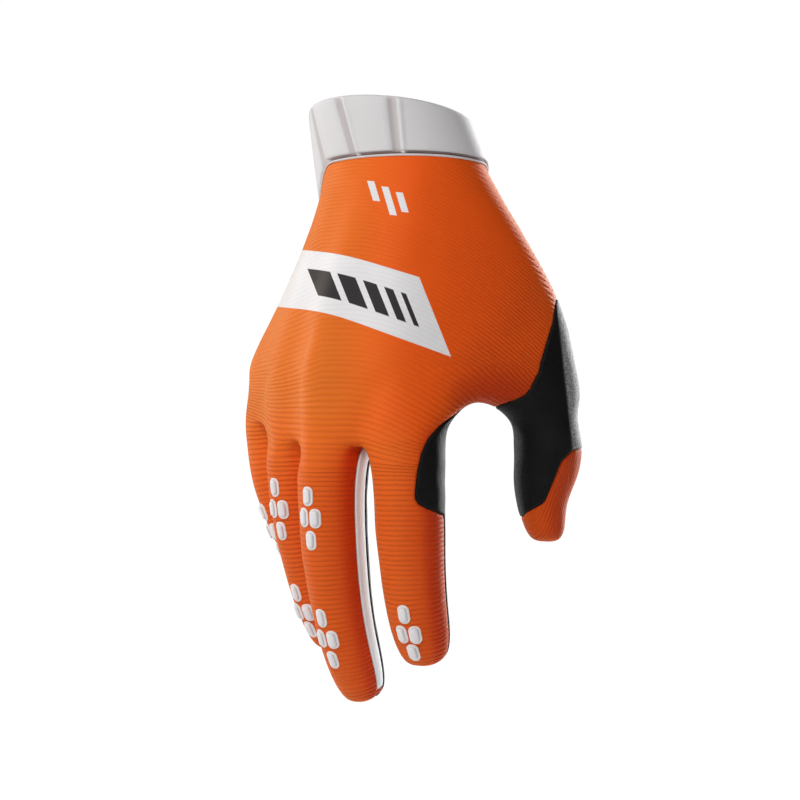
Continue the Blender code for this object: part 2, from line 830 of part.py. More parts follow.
def add_node(name, body, look):
    mesh = bpy.data.meshes.new(name)
    body.to_mesh(mesh)
    body.free()
    thing = new_object(name, mesh)
    material = bpy.data.materials.new(name)
    material.use_nodes = True
    shader = material.node_tree.nodes["Principled BSDF"]
    shader.inputs["Base Color"].default_value = (*look.colour, 1.0)
    shader.inputs["Roughness"].default_value = look.roughness
    mesh.materials.append(material)
    mesh.shade_smooth()
    mesh.set_sharp_from_angle(angle=math.radians(SHARP_ANGLE))
    return thing


def main():
    for old in list(bpy.data.objects):
        bpy.data.objects.remove(old)
    skin = panelled_skin(SKIN_LEVELS)
    skin.verts.index_update()
    skin.faces.index_update()
    panel = skin.faces.layers.int["panel"]
    faces = {label: [f for f in skin.faces if f[panel] == label] for label in range(5)}
    line = seam_line(skin)
    surface = BVHTree.FromBMesh(skin)

    add_node("cuff", cuff_body(line), WHITE)
    add_node("cuff_piping", piping_body(line), WHITE)
    add_node("back_panel", panel_body(skin, faces[BACK], FABRIC_WALL), ORANGE)
    add_node("palm_panel", panel_body(skin, faces[PALM], LEATHER_WALL), BLACK)
    add_node("thumb_wrap", panel_body(skin, faces[WRAP], LEATHER_WALL), BLACK)
    add_node("thumb_tip", panel_body(skin, faces[TIP], FABRIC_WALL), ORANGE)
    strips = sorted(connected(faces[FOURCHETTE]), key=lambda group: group[0].calc_center_median().x)
    for number, strip in enumerate(strips):
        name = "fourchette_" + RAYS[number].name + "_" + RAYS[number + 1].name
        add_node(name, panel_body(skin, strip, FABRIC_WALL), WHITE)
    for group in PAD_GROUPS:
        for spot in PAD_PLACES:
            add_node("pad_" + group.name + "_" + spot.name, pad_body(surface, group, spot), RUBBER)


if __name__ == "__main__":
    main()
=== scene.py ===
"""The motocross glove's looks: ribbed stretch fabric, synthetic leather, a moulded cuff and rubber pads.

Units are metres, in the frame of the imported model: +Z up out of the wrist opening, +X to the thumb side and
-Y out of the back of the hand. The glove hangs with its fingers down and is seen from the corner between its
back and its thumb side.

Below the cuff every panel is a piece of one smooth skin. The skin comes from the same coarse net and the same
seam lines as the solids, with rolled edges, creases and small waves added along its normals.
"""

import math
from collections import namedtuple

import bmesh
import bpy
from mathutils import Matrix, Vector, noise
from mathutils.bvhtree import BVHTree
from mathutils.kdtree import KDTree


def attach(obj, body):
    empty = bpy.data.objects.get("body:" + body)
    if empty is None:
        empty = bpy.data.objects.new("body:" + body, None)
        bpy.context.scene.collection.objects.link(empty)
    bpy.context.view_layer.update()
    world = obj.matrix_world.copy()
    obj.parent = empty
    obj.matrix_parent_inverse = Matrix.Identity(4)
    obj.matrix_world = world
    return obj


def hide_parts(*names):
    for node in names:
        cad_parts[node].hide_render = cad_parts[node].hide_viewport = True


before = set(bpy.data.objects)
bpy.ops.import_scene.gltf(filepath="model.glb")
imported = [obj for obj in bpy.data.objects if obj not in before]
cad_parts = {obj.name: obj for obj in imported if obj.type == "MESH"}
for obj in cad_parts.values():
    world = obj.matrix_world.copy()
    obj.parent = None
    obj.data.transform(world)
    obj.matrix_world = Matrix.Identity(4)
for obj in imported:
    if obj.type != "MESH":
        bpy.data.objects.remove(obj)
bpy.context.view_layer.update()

# The cuff: an oval ring whose rim and seam are both lower on the palm side.
CUFF_WIDTH = 0.0635
CUFF_DEPTH = 0.0490
CUFF_HEIGHT = 0.0181
CUFF_WALL = 0.0024
CUFF_PROUD = 0.0007
CUFF_LEAN = (0.0024, 0.0020)
RIM_WIDTH = 0.0612
RIM_DEPTH = 0.0480
RIM_SHIFT = -0.0017
GROOVE_DEPTH = 0.0009
RIM_TILT = (0.030, 0.248)
SEAM_TILT = (-0.020, 0.092)

# Below the seam, the cuff's palm side runs on further down, between these two angles from the back.
TONGUE_DROP = 0.0130
TONGUE_THUMB_ANGLE = 122
TONGUE_LITTLE_ANGLE = -53
TONGUE_SOFTNESS = 9

# The hand: from the wrist to the roots of the fingers, and from the little finger's root to the index's.
HAND_DROP = 0.1200
KNUCKLE_SPAN = 0.0655
FINGER_WIDTH = 0.0255
FINGER_LENGTH = 0.0920

# Walls and the gaps between panels
FABRIC_WALL = 0.0014
LEATHER_WALL = 0.0016
PANEL_GAP = 0.0003
SEAM_FLARE = 0.0004
FLARE_SHARE = 0.5
PIPING_RADIUS = 0.00055

# Rubber pads
PAD_WIDTH = 0.0044
PAD_LENGTH = 0.0068

# One row for each ray of the hand. x and y are its root's place in knuckle spans, and z is its drop as a
# share of the hand's. width, depth and length are shares of a finger's. The leans, in degrees, are those of
# its three bones towards its own palm side. splay is towards the thumb, and roll turns its back towards the
# little finger.
Ray = namedtuple("Ray", "name x y z width depth length leans splay roll")
RAYS = (
    Ray("little", -0.797, 0.030, 0.875, 0.80, 0.93, 0.665, (2, 16, 24), 2.5, 42),
    Ray("ring", -0.515, -0.170, 0.945, 0.86, 1.04, 0.885, (4, 14, 23), 0, 18),
    Ray("middle", -0.191, -0.336, 0.960, 0.93, 1.06, 1.055, (0, 10, 23), 0, 12),
    Ray("index", 0.227, -0.247, 0.955, 1.00, 1.00, 0.890, (0, 6, 19), 0.8, 0),
    Ray("thumb", 0.766, 0.312, 0.825, 0.96, 1.04, 0.570, (-2, 2, -9), -3, -38),
)
THUMB = len(RAYS) - 1
BONE_ENDS = (0.33, 0.66)
BEND_SHARE = 0.10

# Sections of a finger: how far along, and the width and depth there as shares of its own. across is how far
# the section lies towards the thumb side, as a share of a finger's width.
Section = namedtuple("Section", "along width depth across", defaults=(0.0,))
FINGER_SECTIONS = (
    Section(0.08, 1.02, 1.02),
    Section(0.24, 0.98, 0.97),
    Section(0.40, 0.97, 0.95),
    Section(0.56, 0.90, 0.88),
    Section(0.72, 0.86, 0.84),
    Section(0.87, 0.80, 0.76),
    Section(0.97, 0.58, 0.54),
)
THUMB_SECTIONS = (
    Section(0.14, 0.91, 1.00, -0.020),
    Section(0.34, 0.99, 0.98, 0.090),
    Section(0.54, 0.94, 0.90, 0.045),
    Section(0.73, 0.70, 0.75, 0.000),
    Section(0.89, 0.60, 0.58, 0.060),
    Section(0.98, 0.40, 0.38, 0.080),
)

# Sections of the hand between the wrist and the thumb's root. down is the share of that drop, and the others
# are how far each side of the section has gone from the wrist's oval to the five rays' outline.
HandSection = namedtuple("HandSection", "down little thumb back palm")
HAND_SECTIONS = (
    HandSection(0.00, 0.00, 0.00, 0.00, 0.00),
    HandSection(0.10, 0.04, 0.13, 0.06, 0.10),
    HandSection(0.25, 0.17, 0.36, 0.24, 0.30),
    HandSection(0.41, 0.36, 0.58, 0.44, 0.52),
    HandSection(0.58, 0.56, 0.79, 0.66, 0.72),
    HandSection(0.76, 0.80, 0.90, 0.88, 0.90),
    HandSection(0.91, 0.97, 0.96, 1.03, 0.98),
)

# The section at the thumb's root lies this far above the fingers' roots, and is this much thicker.
THUMB_LEVEL = Vector((0.0005, 0.0010, 0.0165))
THUMB_LEVEL_THICKNESS = 1.05
THUMB_LEVEL_FLATNESS = 0.3
CROTCH_DROP = 0.0035
BETWEEN_LEVELS = (0.33, 0.68)
CROTCH_EASE = 2.2

# The net: a ring of eight round each ray, by the angle from its back, and how much it shrinks when smoothed
RING = 8
RING_ANGLES = (-90, -50, 0, 50, 90, 128, 180, -128)
RING_SIDES = (0.0, 0.5, 1.0, 0.5, 0.0, -0.5, -1.0, -0.5)
SMOOTHING_LOSS = 1.075
FINGERS_RING = 20
HAND_RING = 24
CROTCH = 10

# Seams, as levels from the middle of the back (1) over the side (0) to the middle of the palm (-1)
FOURCHETTE_TOP = 0.03
FOURCHETTE_FOOT = -0.34
FOURCHETTE_END = 0.94
OUTER_SEAM = -0.22
THUMB_SIDE_SEAM = -0.80

# The palm's gusset reaches round the index finger: heights, and the level that it reaches at each. It starts
# this many times the thumb root's height above the fingers' roots.
GUSSET_START = 1.2
GUSSET = (
    (-0.860, OUTER_SEAM), (-0.905, 0.12), (-0.945, 0.33), (-0.990, 0.47), (-1.045, 0.55), (-1.112, 0.60),
    (-1.127, 0.58), (-1.137, 0.52), (-1.147, 0.38), (-1.158, 0.16), (-1.168, OUTER_SEAM),
)

# The thumb's two seams, seen from the front corner: heights as shares of the hand's drop, and reaches to that
# side in knuckle spans
SEAM_FACING = 30
THUMB_SEAM = (
    (-0.500, 0.930), (-0.545, 0.868), (-0.613, 0.847), (-0.702, 0.794), (-0.762, 0.766), (-0.822, 0.700),
    (-0.838, 0.640), (-0.858, 0.540), (-0.900, 0.450),
)
TIP_SEAM = (
    (-1.210, 0.640), (-1.165, 0.705), (-1.135, 0.800), (-1.070, 0.850), (-1.015, 0.890), (-0.980, 0.960),
)

# The cuff's grooves, by their angles from the back, and the step over which its seam's slope is taken
GROOVES = (-50.0, -15.0, 25.0)
CUFF_STEP = 10

# Where the pads lie: the finger, how far along it, and the angle from its back
PadGroup = namedtuple("PadGroup", "name ray along angle")
PAD_GROUPS = (
    PadGroup("little", 0, 0.68, 2),
    PadGroup("ring_upper", 1, 0.30, 2),
    PadGroup("ring_lower", 1, 0.75, 2),
    PadGroup("middle_upper", 2, 0.265, 2),
    PadGroup("middle_lower", 2, 0.685, 1),
    PadGroup("index", 3, 0.79, 4),
)
PadPlace = namedtuple("PadPlace", "name across down")
PAD_PLACES = (
    PadPlace("top", -0.05, -1.04),
    PadPlace("little_side", -0.58, 0.0),
    PadPlace("thumb_side", 0.58, 0.03),
    PadPlace("foot", 0.05, 1.06),
)

# A point this near to a seam, as a share of its edge, is moved onto it.
LITTLE_SHARE = 0.14

BACK, PALM, FOURCHETTE, WRAP, TIP = range(5)
HAND_REGION = len(RAYS)
SKIN_LEVELS = 3


def clamped_step(x):
    """A soft step from 0 to 1."""
    x = max(0.0, min(1.0, x))
    return x * x * (3 - 2 * x)


def bell(x, width):
    return math.exp(-((x / width) ** 2))


def table_value(rows, at):
    """The second column of a table at a value of its first, straight between rows."""
    rows = sorted(rows)
    if at <= rows[0][0]:
        return rows[0][1]
    for low, high in zip(rows, rows[1:]):
        if at <= high[0]:
            return low[1] + (high[1] - low[1]) * (at - low[0]) / (high[0] - low[0])
    return rows[-1][1]


def oval_point(angle, width, depth):
    """A point of an oval: angle 0 is the middle of the back and 90 the thumb side."""
    turn = math.radians(angle)
    return Vector((width / 2 * math.sin(turn), -depth / 2 * math.cos(turn), 0.0))


def tongue_drop(angle):
    """How far the seam lies lower at an angle, where the cuff's palm side runs on."""
    angle = (angle + 180) % 360 - 180
    if angle > 0:
        past = angle - TONGUE_THUMB_ANGLE
    else:
        past = TONGUE_LITTLE_ANGLE - angle
    return TONGUE_DROP * clamped_step((past + TONGUE_SOFTNESS) / (2 * TONGUE_SOFTNESS))


def seam_point(angle, proud=0.0, tongue=1.0):
    """A point of the seam below the cuff."""
    place = oval_point(angle, CUFF_WIDTH + 2 * proud, CUFF_DEPTH + 2 * proud)
    drop = SEAM_TILT[0] * place.x + SEAM_TILT[1] * place.y + CUFF_HEIGHT + tongue * tongue_drop(angle)
    return Vector((place.x + CUFF_LEAN[0], place.y + CUFF_LEAN[1], -drop))


def ray_root(ray):
    return Vector((ray.x * KNUCKLE_SPAN, ray.y * KNUCKLE_SPAN, -ray.z * HAND_DROP))


def ray_turn(ray, lean):
    """Turns a section that faces straight down to the direction of its bone."""
    roll = Matrix.Rotation(math.radians(-ray.roll), 3, "Z")
    splay = Matrix.Rotation(math.radians(-ray.splay), 3, "Y")
    return roll @ splay @ Matrix.Rotation(math.radians(lean), 3, "X")


def ray_line(ray, along):
    """The ray's middle point at a share of its length, and the lean there."""
    point = ray_root(ray)
    length = ray.length * FINGER_LENGTH
    lean = ray.leans[0]
    for start, end, bone_lean in zip((0.0, *BONE_ENDS), (*BONE_ENDS, 1.0), ray.leans):
        if along <= start:
            break
        step = (min(along, end) - start) * length
        point = point + ray_turn(ray, bone_lean) @ Vector((0, 0, -step))
        lean = bone_lean
    for joint, end in enumerate(BONE_ENDS):
        if abs(along - end) < BEND_SHARE:
            share = (along - end + BEND_SHARE) / (2 * BEND_SHARE)
            lean = ray.leans[joint] * (1 - share) + ray.leans[joint + 1] * share
    return point, lean


def ray_ring(ray, section):
    """The eight points of a ray's net at a section."""
    point, lean = ray_line(ray, section.along)
    turn = ray_turn(ray, lean)
    width = ray.width * FINGER_WIDTH * section.width * SMOOTHING_LOSS
    depth = ray.depth * FINGER_WIDTH * section.depth * SMOOTHING_LOSS
    point += turn @ Vector((section.across * FINGER_WIDTH, 0, 0))
    return [point + turn @ oval_point(angle, width, depth) for angle in RING_ANGLES]


class Net:
    """The coarse net, with four values at every point that the smoothing carries along.

    side is the level between back and palm, edge and foot are the levels of the seams there, and run is the
    distance down the hand and along the fingers.
    """

    def __init__(self):
        self.mesh = bmesh.new()
        floats = self.mesh.verts.layers.float
        self.side, self.edge, self.foot, self.run = [floats.new(n) for n in ("side", "edge", "foot", "run")]

    def add(self, place, side, run, inner=False, outer=OUTER_SEAM):
        vert = self.mesh.verts.new(place)
        vert[self.side] = side
        vert[self.run] = run
        vert[self.edge] = FOURCHETTE_TOP if inner else outer
        vert[self.foot] = FOURCHETTE_FOOT if inner else outer
        return vert

    def bridge(self, upper, lower, region):
        count = len(upper)
        for column in range(count):
            after = (column + 1) % count
            corners = (upper[column], upper[after], lower[after], lower[column])
            self.mesh.faces.new(corners).material_index = region

    def cap(self, ring, run, region):
        """Closes a ring of eight with four faces round one middle point."""
        middle = sum((vert.co for vert in ring), Vector()) / RING
        tip = self.add(middle, 0.0, run)
        for column in range(0, RING, 2):
            corners = (ring[column], ring[column + 1], ring[(column + 2) % RING], tip)
            self.mesh.faces.new(corners).material_index = region

    def ray(self, number, ring, sections, start):
        """A finger or the thumb, from its first ring to its tip."""
        ray = RAYS[number]
        length = ray.length * FINGER_LENGTH
        for section in sections:
            run = start + section.along * length
            places = ray_ring(ray, section)
            lower = [
                self.add(place, RING_SIDES[k], run, inner_place(number, k)) for k, place in enumerate(places)
            ]
            self.bridge(ring, lower, number)
            ring = lower
        self.cap(ring, start + length, number)


def inner_place(number, place):
    """Whether a place of a finger's ring faces another finger."""
    if number == THUMB:
        return False
    return (place in (3, 4, 5) and number < THUMB - 1) or (place in (7, 0, 1) and number > 0)


def fingers_column(number, place):
    """Which point of the ring round all four fingers a finger's place is, or None inside a web."""
    if place in (1, 2, 3):
        return 2 * number + place
    if place in (5, 6, 7):
        return 12 - 2 * number + place
    if place == 0 and number == 0:
        return 0
    if place == 4 and number == THUMB - 1:
        return 10
    return None


def ring_side(column, count):
    """The level of a point in a ring round all four fingers or the whole hand."""
    half = count // 2
    if column in (1, half - 1):
        return 0.5
    if column in (0, half):
        return 0.0
    if column in (half + 1, count - 1):
        return -0.5
    return 1.0 if column < half else -1.0


def finger_roots(net):
    """The four fingers' first rings, which share three points at each web, and the ring round them all."""
    places = [ray_ring(ray, Section(0.0, 1.0, 1.0)) for ray in RAYS[:THUMB]]
    rings = [[None] * RING for _ in places]
    for number in range(THUMB - 1):
        for mine, other in ((3, 1), (4, 0), (5, 7)):
            place = (places[number][mine] + places[number + 1][other]) / 2
            vert = net.add(place, RING_SIDES[mine], 0.0, True)
            rings[number][mine] = vert
            rings[number + 1][other] = vert
    around = [None] * FINGERS_RING
    for number, ring in enumerate(rings):
        for place in range(RING):
            if ring[place] is None:
                inner = inner_place(number, place)
                ring[place] = net.add(places[number][place], RING_SIDES[place], 0.0, inner)
            column = fingers_column(number, place)
            if column is not None:
                around[column] = ring[place]
    return rings, around


def thumb_level_ring(net, around):
    """The ring round the whole hand at the thumb's root, and the point inside the thumb's web."""
    raised = [vert.co + THUMB_LEVEL for vert in around]
    middle = sum(raised, Vector()) / len(raised)
    for place in raised:
        place.y = middle.y + (place.y - middle.y) * THUMB_LEVEL_THICKNESS
        place.z = middle.z + (place.z - middle.z) * THUMB_LEVEL_FLATNESS
    thumb = ray_ring(RAYS[THUMB], Section(0.0, 1.0, 1.0))
    before = (raised[CROTCH - 1] + thumb[1]) / 2
    after = (raised[CROTCH + 1] + thumb[7]) / 2
    places = raised[: CROTCH - 1] + [before] + thumb[2:7] + [after] + raised[CROTCH + 2 :]
    web = (raised[CROTCH] + thumb[0]) / 2 - Vector((0, 0, CROTCH_DROP))
    run = -THUMB_LEVEL.z
    ring = [
        net.add(place, ring_side(c, HAND_RING), run, False, hand_seam(c)) for c, place in enumerate(places)
    ]
    return ring, net.add(web, 0.0, run)


def hand_seam(column):
    """The level of the seam between back and palm in the ring round the whole hand."""
    return THUMB_SIDE_SEAM if 8 < column < 16 else OUTER_SEAM


def hand_net():
    """The whole net from the seam below the cuff to the finger tips."""
    net = Net()
    rings, around = finger_roots(net)
    hand, web = thumb_level_ring(net, around)

    fingers = hand[:CROTCH] + [web] + hand[CROTCH + 5 :]
    upper = fingers
    for share in BETWEEN_LEVELS:
        row = []
        for column, (above, below) in enumerate(zip(fingers, around)):
            near_crotch = abs(column - CROTCH) < 2
            sideways = 1 - (1 - share) ** CROTCH_EASE if near_crotch else share
            place = above.co.lerp(below.co, sideways)
            place.z = above.co.z + (below.co.z - above.co.z) * share
            row.append(net.add(place, ring_side(column, FINGERS_RING), -THUMB_LEVEL.z * (1 - share)))
        net.bridge(upper, row, HAND_REGION)
        upper = row
    net.bridge(upper, around, HAND_REGION)

    for number, ring in enumerate(rings):
        net.ray(number, ring, FINGER_SECTIONS, 0.0)
    net.ray(THUMB, [web] + hand[CROTCH - 1 : CROTCH + 6], THUMB_SECTIONS, -THUMB_LEVEL.z)

    upper = None
    top_run = seam_point(0).z - sum((vert.co.z for vert in hand), 0.0) / HAND_RING + THUMB_LEVEL.z
    for section in HAND_SECTIONS:
        row = []
        for column in range(HAND_RING):
            angle = 360 / HAND_RING * column - 90
            across = math.sin(math.radians(angle))
            over = math.cos(math.radians(angle))
            share = (section.thumb if across > 0 else section.little) * across**2
            share += (section.back if over > 0 else section.palm) * over**2
            start = seam_point(angle)
            goal = hand[column].co
            place = seam_point(angle, 0.0, 0.0).lerp(goal, share)
            place.z = start.z + (goal.z - start.z) * section.down
            run = -top_run + (top_run - THUMB_LEVEL.z) * section.down
            row.append(net.add(place, ring_side(column, HAND_RING), run, False, hand_seam(column)))
        if upper:
            net.bridge(upper, row, HAND_REGION)
        upper = row
    net.bridge(upper, hand, HAND_REGION)
    bmesh.ops.recalc_face_normals(net.mesh, faces=net.mesh.faces)
    return net.mesh


def new_object(name, mesh):
    thing = bpy.data.objects.new(name, mesh)
    bpy.context.scene.collection.objects.link(thing)
    return thing


def smooth_skin(levels):
    """The net, smoothed, as a fresh mesh for cutting, with the way out of the skin kept at every point."""
    mesh = bpy.data.meshes.new("skin")
    hand_net().to_mesh(mesh)
    thing = new_object("skin", mesh)
    smoothing = thing.modifiers.new("smoothing", "SUBSURF")
    smoothing.levels = levels
    smoothing.render_levels = levels
    ready = thing.evaluated_get(bpy.context.evaluated_depsgraph_get())
    skin = bmesh.new()
    skin.from_mesh(ready.to_mesh())
    ready.to_mesh_clear()
    bpy.data.objects.remove(thing)
    skin.normal_update()
    outward = skin.verts.layers.float_vector.new("outward")
    for vert in skin.verts:
        vert[outward] = vert.normal
    return skin


def pull_onto_line(edges, level):
    """Moves every point that lies close to the line onto it, so that no sliver is left beside it."""
    pulls = {}
    for edge in edges:
        one, two = edge.verts
        if level[one] * level[two] >= 0:
            continue
        share = level[one] / (level[one] - level[two])
        for vert, other, part in ((one, two, share), (two, one, 1 - share)):
            if part < LITTLE_SHARE and part < pulls.get(vert, (1.0, None))[0]:
                pulls[vert] = (part, other.co.copy())
    for vert, (part, place) in pulls.items():
        vert.co = vert.co.lerp(place, part)
        level[vert] = 0.0


def divide(face, level):
    """Divides a face between its points on the line, until no part has points on both sides."""
    verts = list(face.verts)
    signs = [(level[v] > 0) - (level[v] < 0) for v in verts]
    if not (1 in signs and -1 in signs):
        return
    on_line = [i for i, sign in enumerate(signs) if sign == 0]
    for i in on_line:
        for j in on_line:
            inside = {s for s in signs[i + 1 : j] if s}
            outside = {s for s in signs[j + 1 :] + signs[:i] if s}
            if j > i + 1 and len(inside) == 1 and outside and inside != outside:
                other, _ = bmesh.utils.face_split(face, verts[i], verts[j])
                divide(face, level)
                divide(other, level)
                return


def cut(faces, value):
    """Cuts faces along the line where value is nil. Returns the level of every point."""
    faces = list(faces)
    edges = list(dict.fromkeys(edge for face in faces for edge in face.edges))
    level = {vert: value(vert) for face in faces for vert in face.verts}
    pull_onto_line(edges, level)
    for edge in edges:
        one, two = edge.verts
        if level[one] * level[two] < 0:
            share = level[one] / (level[one] - level[two])
            _, fresh = bmesh.utils.edge_split(edge, one, share)
            level[fresh] = 0.0
    for face in faces:
        divide(face, level)
    return level


def above_line(face, level):
    return sum(level.get(vert, 0.0) for vert in face.verts) > 0


def seam_reach(vert):
    """How far a point lies towards the side that the thumb's seams are drawn on, in knuckle spans."""
    turn = math.radians(SEAM_FACING)
    return (vert.co.x * math.cos(turn) + vert.co.y * math.sin(turn)) / KNUCKLE_SPAN


def panelled_skin(levels):
    """The smoothed skin with its seams cut and the panel of every face set."""
    skin = smooth_skin(levels)
    floats = skin.verts.layers.float
    side, edge, foot, run = [floats[name] for name in ("side", "edge", "foot", "run")]
    panel = skin.faces.layers.int.new("panel")
    index = THUMB - 1
    gusset_run = -THUMB_LEVEL.z * GUSSET_START

    def back_seam(vert):
        height = vert.co.z / HAND_DROP
        beside_index = vert.co.x > RAYS[index].x * KNUCKLE_SPAN and vert[run] > gusset_run
        if beside_index and vert[edge] < 0:
            return vert[side] - max(vert[edge], table_value(GUSSET, height))
        return vert[side] - vert[edge]

    level = cut(skin.faces, back_seam)
    for face in skin.faces:
        face[panel] = BACK if above_line(face, level) else PALM
    lower = [f for f in skin.faces if f[panel] == PALM and f.material_index != THUMB]
    level = cut(lower, lambda vert: vert[side] - vert[foot])
    for face in skin.faces:
        if face[panel] == PALM and face.material_index != THUMB and above_line(face, level):
            if any(vert[edge] > 0 for vert in face.verts):
                face[panel] = FOURCHETTE
    for number in range(THUMB):
        end = FOURCHETTE_END * RAYS[number].length * FINGER_LENGTH
        strip = [f for f in skin.faces if f.material_index == number and f[panel] == FOURCHETTE]
        level = cut(strip, lambda vert: end - vert[run])
        for face in skin.faces:
            if face.material_index == number and face[panel] == FOURCHETTE and not above_line(face, level):
                face[panel] = BACK

    on_thumb = [f for f in skin.faces if f.material_index in (THUMB, HAND_REGION)]
    level = cut(on_thumb, lambda vert: seam_reach(vert) - table_value(THUMB_SEAM, vert.co.z / HAND_DROP))
    for face in skin.faces:
        if face.material_index in (THUMB, HAND_REGION) and above_line(face, level):
            face[panel] = WRAP
    wrap = [f for f in skin.faces if f[panel] == WRAP]
    heights = [(reach, height) for height, reach in TIP_SEAM]
    level = cut(wrap, lambda vert: table_value(heights, seam_reach(vert)) - vert.co.z / HAND_DROP)
    for face in skin.faces:
        if face[panel] == WRAP and above_line(face, level):
            face[panel] = TIP
    skin.normal_update()
    return skin


def inward(vert, faces):
    """The way from a panel's border into the panel, square to the border, and how far its inner wall may go.

    Inside the panel the way is nil. Beside short edges the inner wall stays closer to the border.
    """
    way = Vector()
    flare = SEAM_FLARE
    for edge in vert.link_edges:
        mine = [face for face in edge.link_faces if face in faces]
        if mine:
            flare = min(flare, edge.calc_length() * FLARE_SHARE)
        if len(mine) == 1:
            along = (edge.verts[1].co - edge.verts[0].co).normalized()
            out = mine[0].calc_center_median() - edge.verts[0].co
            square = out - along * out.dot(along)
            way += square.normalized()
    return way.normalized(), flare


def connected(faces):
    """Groups of faces that hang together by their edges."""
    left = set(faces)
    groups = []
    for first in faces:
        if first not in left:
            continue
        left.remove(first)
        group = [first]
        for face in group:
            for edge in face.edges:
                for other in edge.link_faces:
                    if other in left:
                        left.remove(other)
                        group.append(other)
        groups.append(group)
    return groups


def angle_of(place):
    """The angle of a point round the cuff, from the middle of the back."""
    return math.degrees(math.atan2(place.x - CUFF_LEAN[0], -(place.y - CUFF_LEAN[1])))


def seam_line(skin):
    """The points of the skin's open border, in order round the cuff."""
    border = [vert for vert in skin.verts if any(edge.is_boundary for edge in vert.link_edges)]
    return sorted((angle_of(vert.co), vert.co.copy()) for vert in border)


def on_seam(line, angle):
    """The point of the seam at an angle."""
    angle = (angle + 180) % 360 - 180
    first, last = line[0], line[-1]
    ring = [(last[0] - 360, last[1]), *line, (first[0] + 360, first[1])]
    for (low, start), (high, end) in zip(ring, ring[1:]):
        if low <= angle <= high:
            return start.lerp(end, (angle - low) / (high - low))
    return last[1]


def above_seam(line, angle, distance):
    """A point above the seam by a distance within the cuff's surface, and the outward way there."""
    along = on_seam(line, angle + CUFF_STEP / 2) - on_seam(line, angle - CUFF_STEP / 2)
    turn = math.radians(angle)
    outward = Vector((math.sin(turn) / CUFF_WIDTH, -math.cos(turn) / CUFF_DEPTH, 0)).normalized()
    return on_seam(line, angle) + outward.cross(along).normalized() * distance, outward


def rim_point(angle):
    place = oval_point(angle, RIM_WIDTH, RIM_DEPTH) + Vector((RIM_SHIFT, 0, 0))
    place.z = -RIM_TILT[0] * place.x - RIM_TILT[1] * place.y
    return place


def join_rings(body, rings):
    """Joins rings of points into one closed tube, the last ring to the first."""
    for one, two in zip(rings, rings[1:] + rings[:1]):
        count = len(one)
        for i in range(count):
            j = (i + 1) % count
            body.faces.new((one[i], one[j], two[j], two[i]))
    bmesh.ops.recalc_face_normals(body, faces=body.faces)


# Rolled edges: how far a panel's border lies below its surface, and how wide the rounding is
EDGE_DROP = 0.00045
EDGE_ROUND = 0.0012
EDGE_CUTS = (0.00035, 0.0009)
SEAM_OPENING = 0.00012
LEATHER_LIFT = 0.00025
BORDER_STEP = 0.0002

# Creases in the back panel, seen from the front corner. Each has its line, by heights and the reach there,
# its width and depth, how far its side towards the little finger lies lower, and how wide that side is.
Crease = namedtuple("Crease", "name line width depth step lower")
CREASES = (
    Crease("ring_middle", (
        (-0.0700, -0.0282), (-0.0754, -0.0298), (-0.0833, -0.0323), (-0.0908, -0.0337), (-0.1025, -0.0341),
        (-0.1180, -0.0337), (-0.1290, -0.0334),
    ), 0.0017, 0.0002, 0.0013, 0.0075),
    Crease("little_ring", (
        (-0.0840, -0.0420), (-0.0883, -0.0437), (-0.0929, -0.0459), (-0.0986, -0.0473), (-0.1065, -0.0466),
        (-0.1140, -0.0448), (-0.1240, -0.0437),
    ), 0.0016, 0.0002, 0.0012, 0.0060),
    Crease("middle_index", (
        (-0.0880, -0.0050), (-0.1000, -0.0085), (-0.1100, -0.0112), (-0.1240, -0.0125),
    ), 0.0050, 0.0012, 0.0, 0.0050),
)
CREASE_FADE = 0.010
CREASE_FACING = 0.2

# Soft waves of the fabric and the leather, by height and width, and how far from a seam they are full
FABRIC_WAVE = (0.00016, 0.0100)
LEATHER_WAVE = (0.00028, 0.0080)
WAVE_FADE = 0.004

CAMERA_TURN = 30
CAMERA_PLACE = Vector((0.3985, -0.6863, -0.1004))
CAMERA_LENS = 100

ROOT = "root"


def seen(place):
    """A place as the camera sees it: reach to the right and height, on the plane through the origin."""
    turn = math.radians(CAMERA_TURN)
    right = Vector((math.cos(turn), math.sin(turn), 0))
    away = Vector((-math.sin(turn), math.cos(turn), 0))
    offset = place - CAMERA_PLACE
    start = CAMERA_PLACE.dot(right)
    share = -CAMERA_PLACE.dot(away) / offset.dot(away)
    return start + offset.dot(right) * share, CAMERA_PLACE.z + offset.z * share


def border_tree(skin):
    """Close points along every seam of the skin, for the distance to the nearest seam."""
    panel = skin.faces.layers.int["panel"]
    points = []
    for edge in skin.edges:
        if len({face[panel] for face in edge.link_faces}) > 1:
            one, two = (vert.co for vert in edge.verts)
            count = max(1, round((two - one).length / BORDER_STEP))
            points += [one.lerp(two, k / count) for k in range(count + 1)]
    tree = KDTree(len(points))
    for k, point in enumerate(points):
        tree.insert(point, k)
    tree.balance()
    return tree


def add_edge_rows(skin):
    """Cuts the skin along lines beside its seams, for rolled edges. Keeps every point's distance to them."""
    tree = border_tree(skin)
    near = skin.verts.layers.float.new("near")
    for vert in skin.verts:
        vert[near] = tree.find(vert.co)[2]
    for distance in EDGE_CUTS:
        faces = [face for face in skin.faces if min(vert[near] for vert in face.verts) < distance]
        cut(faces, lambda vert: tree.find(vert.co)[2] - distance)
        for vert in skin.verts:
            vert[near] = tree.find(vert.co)[2]


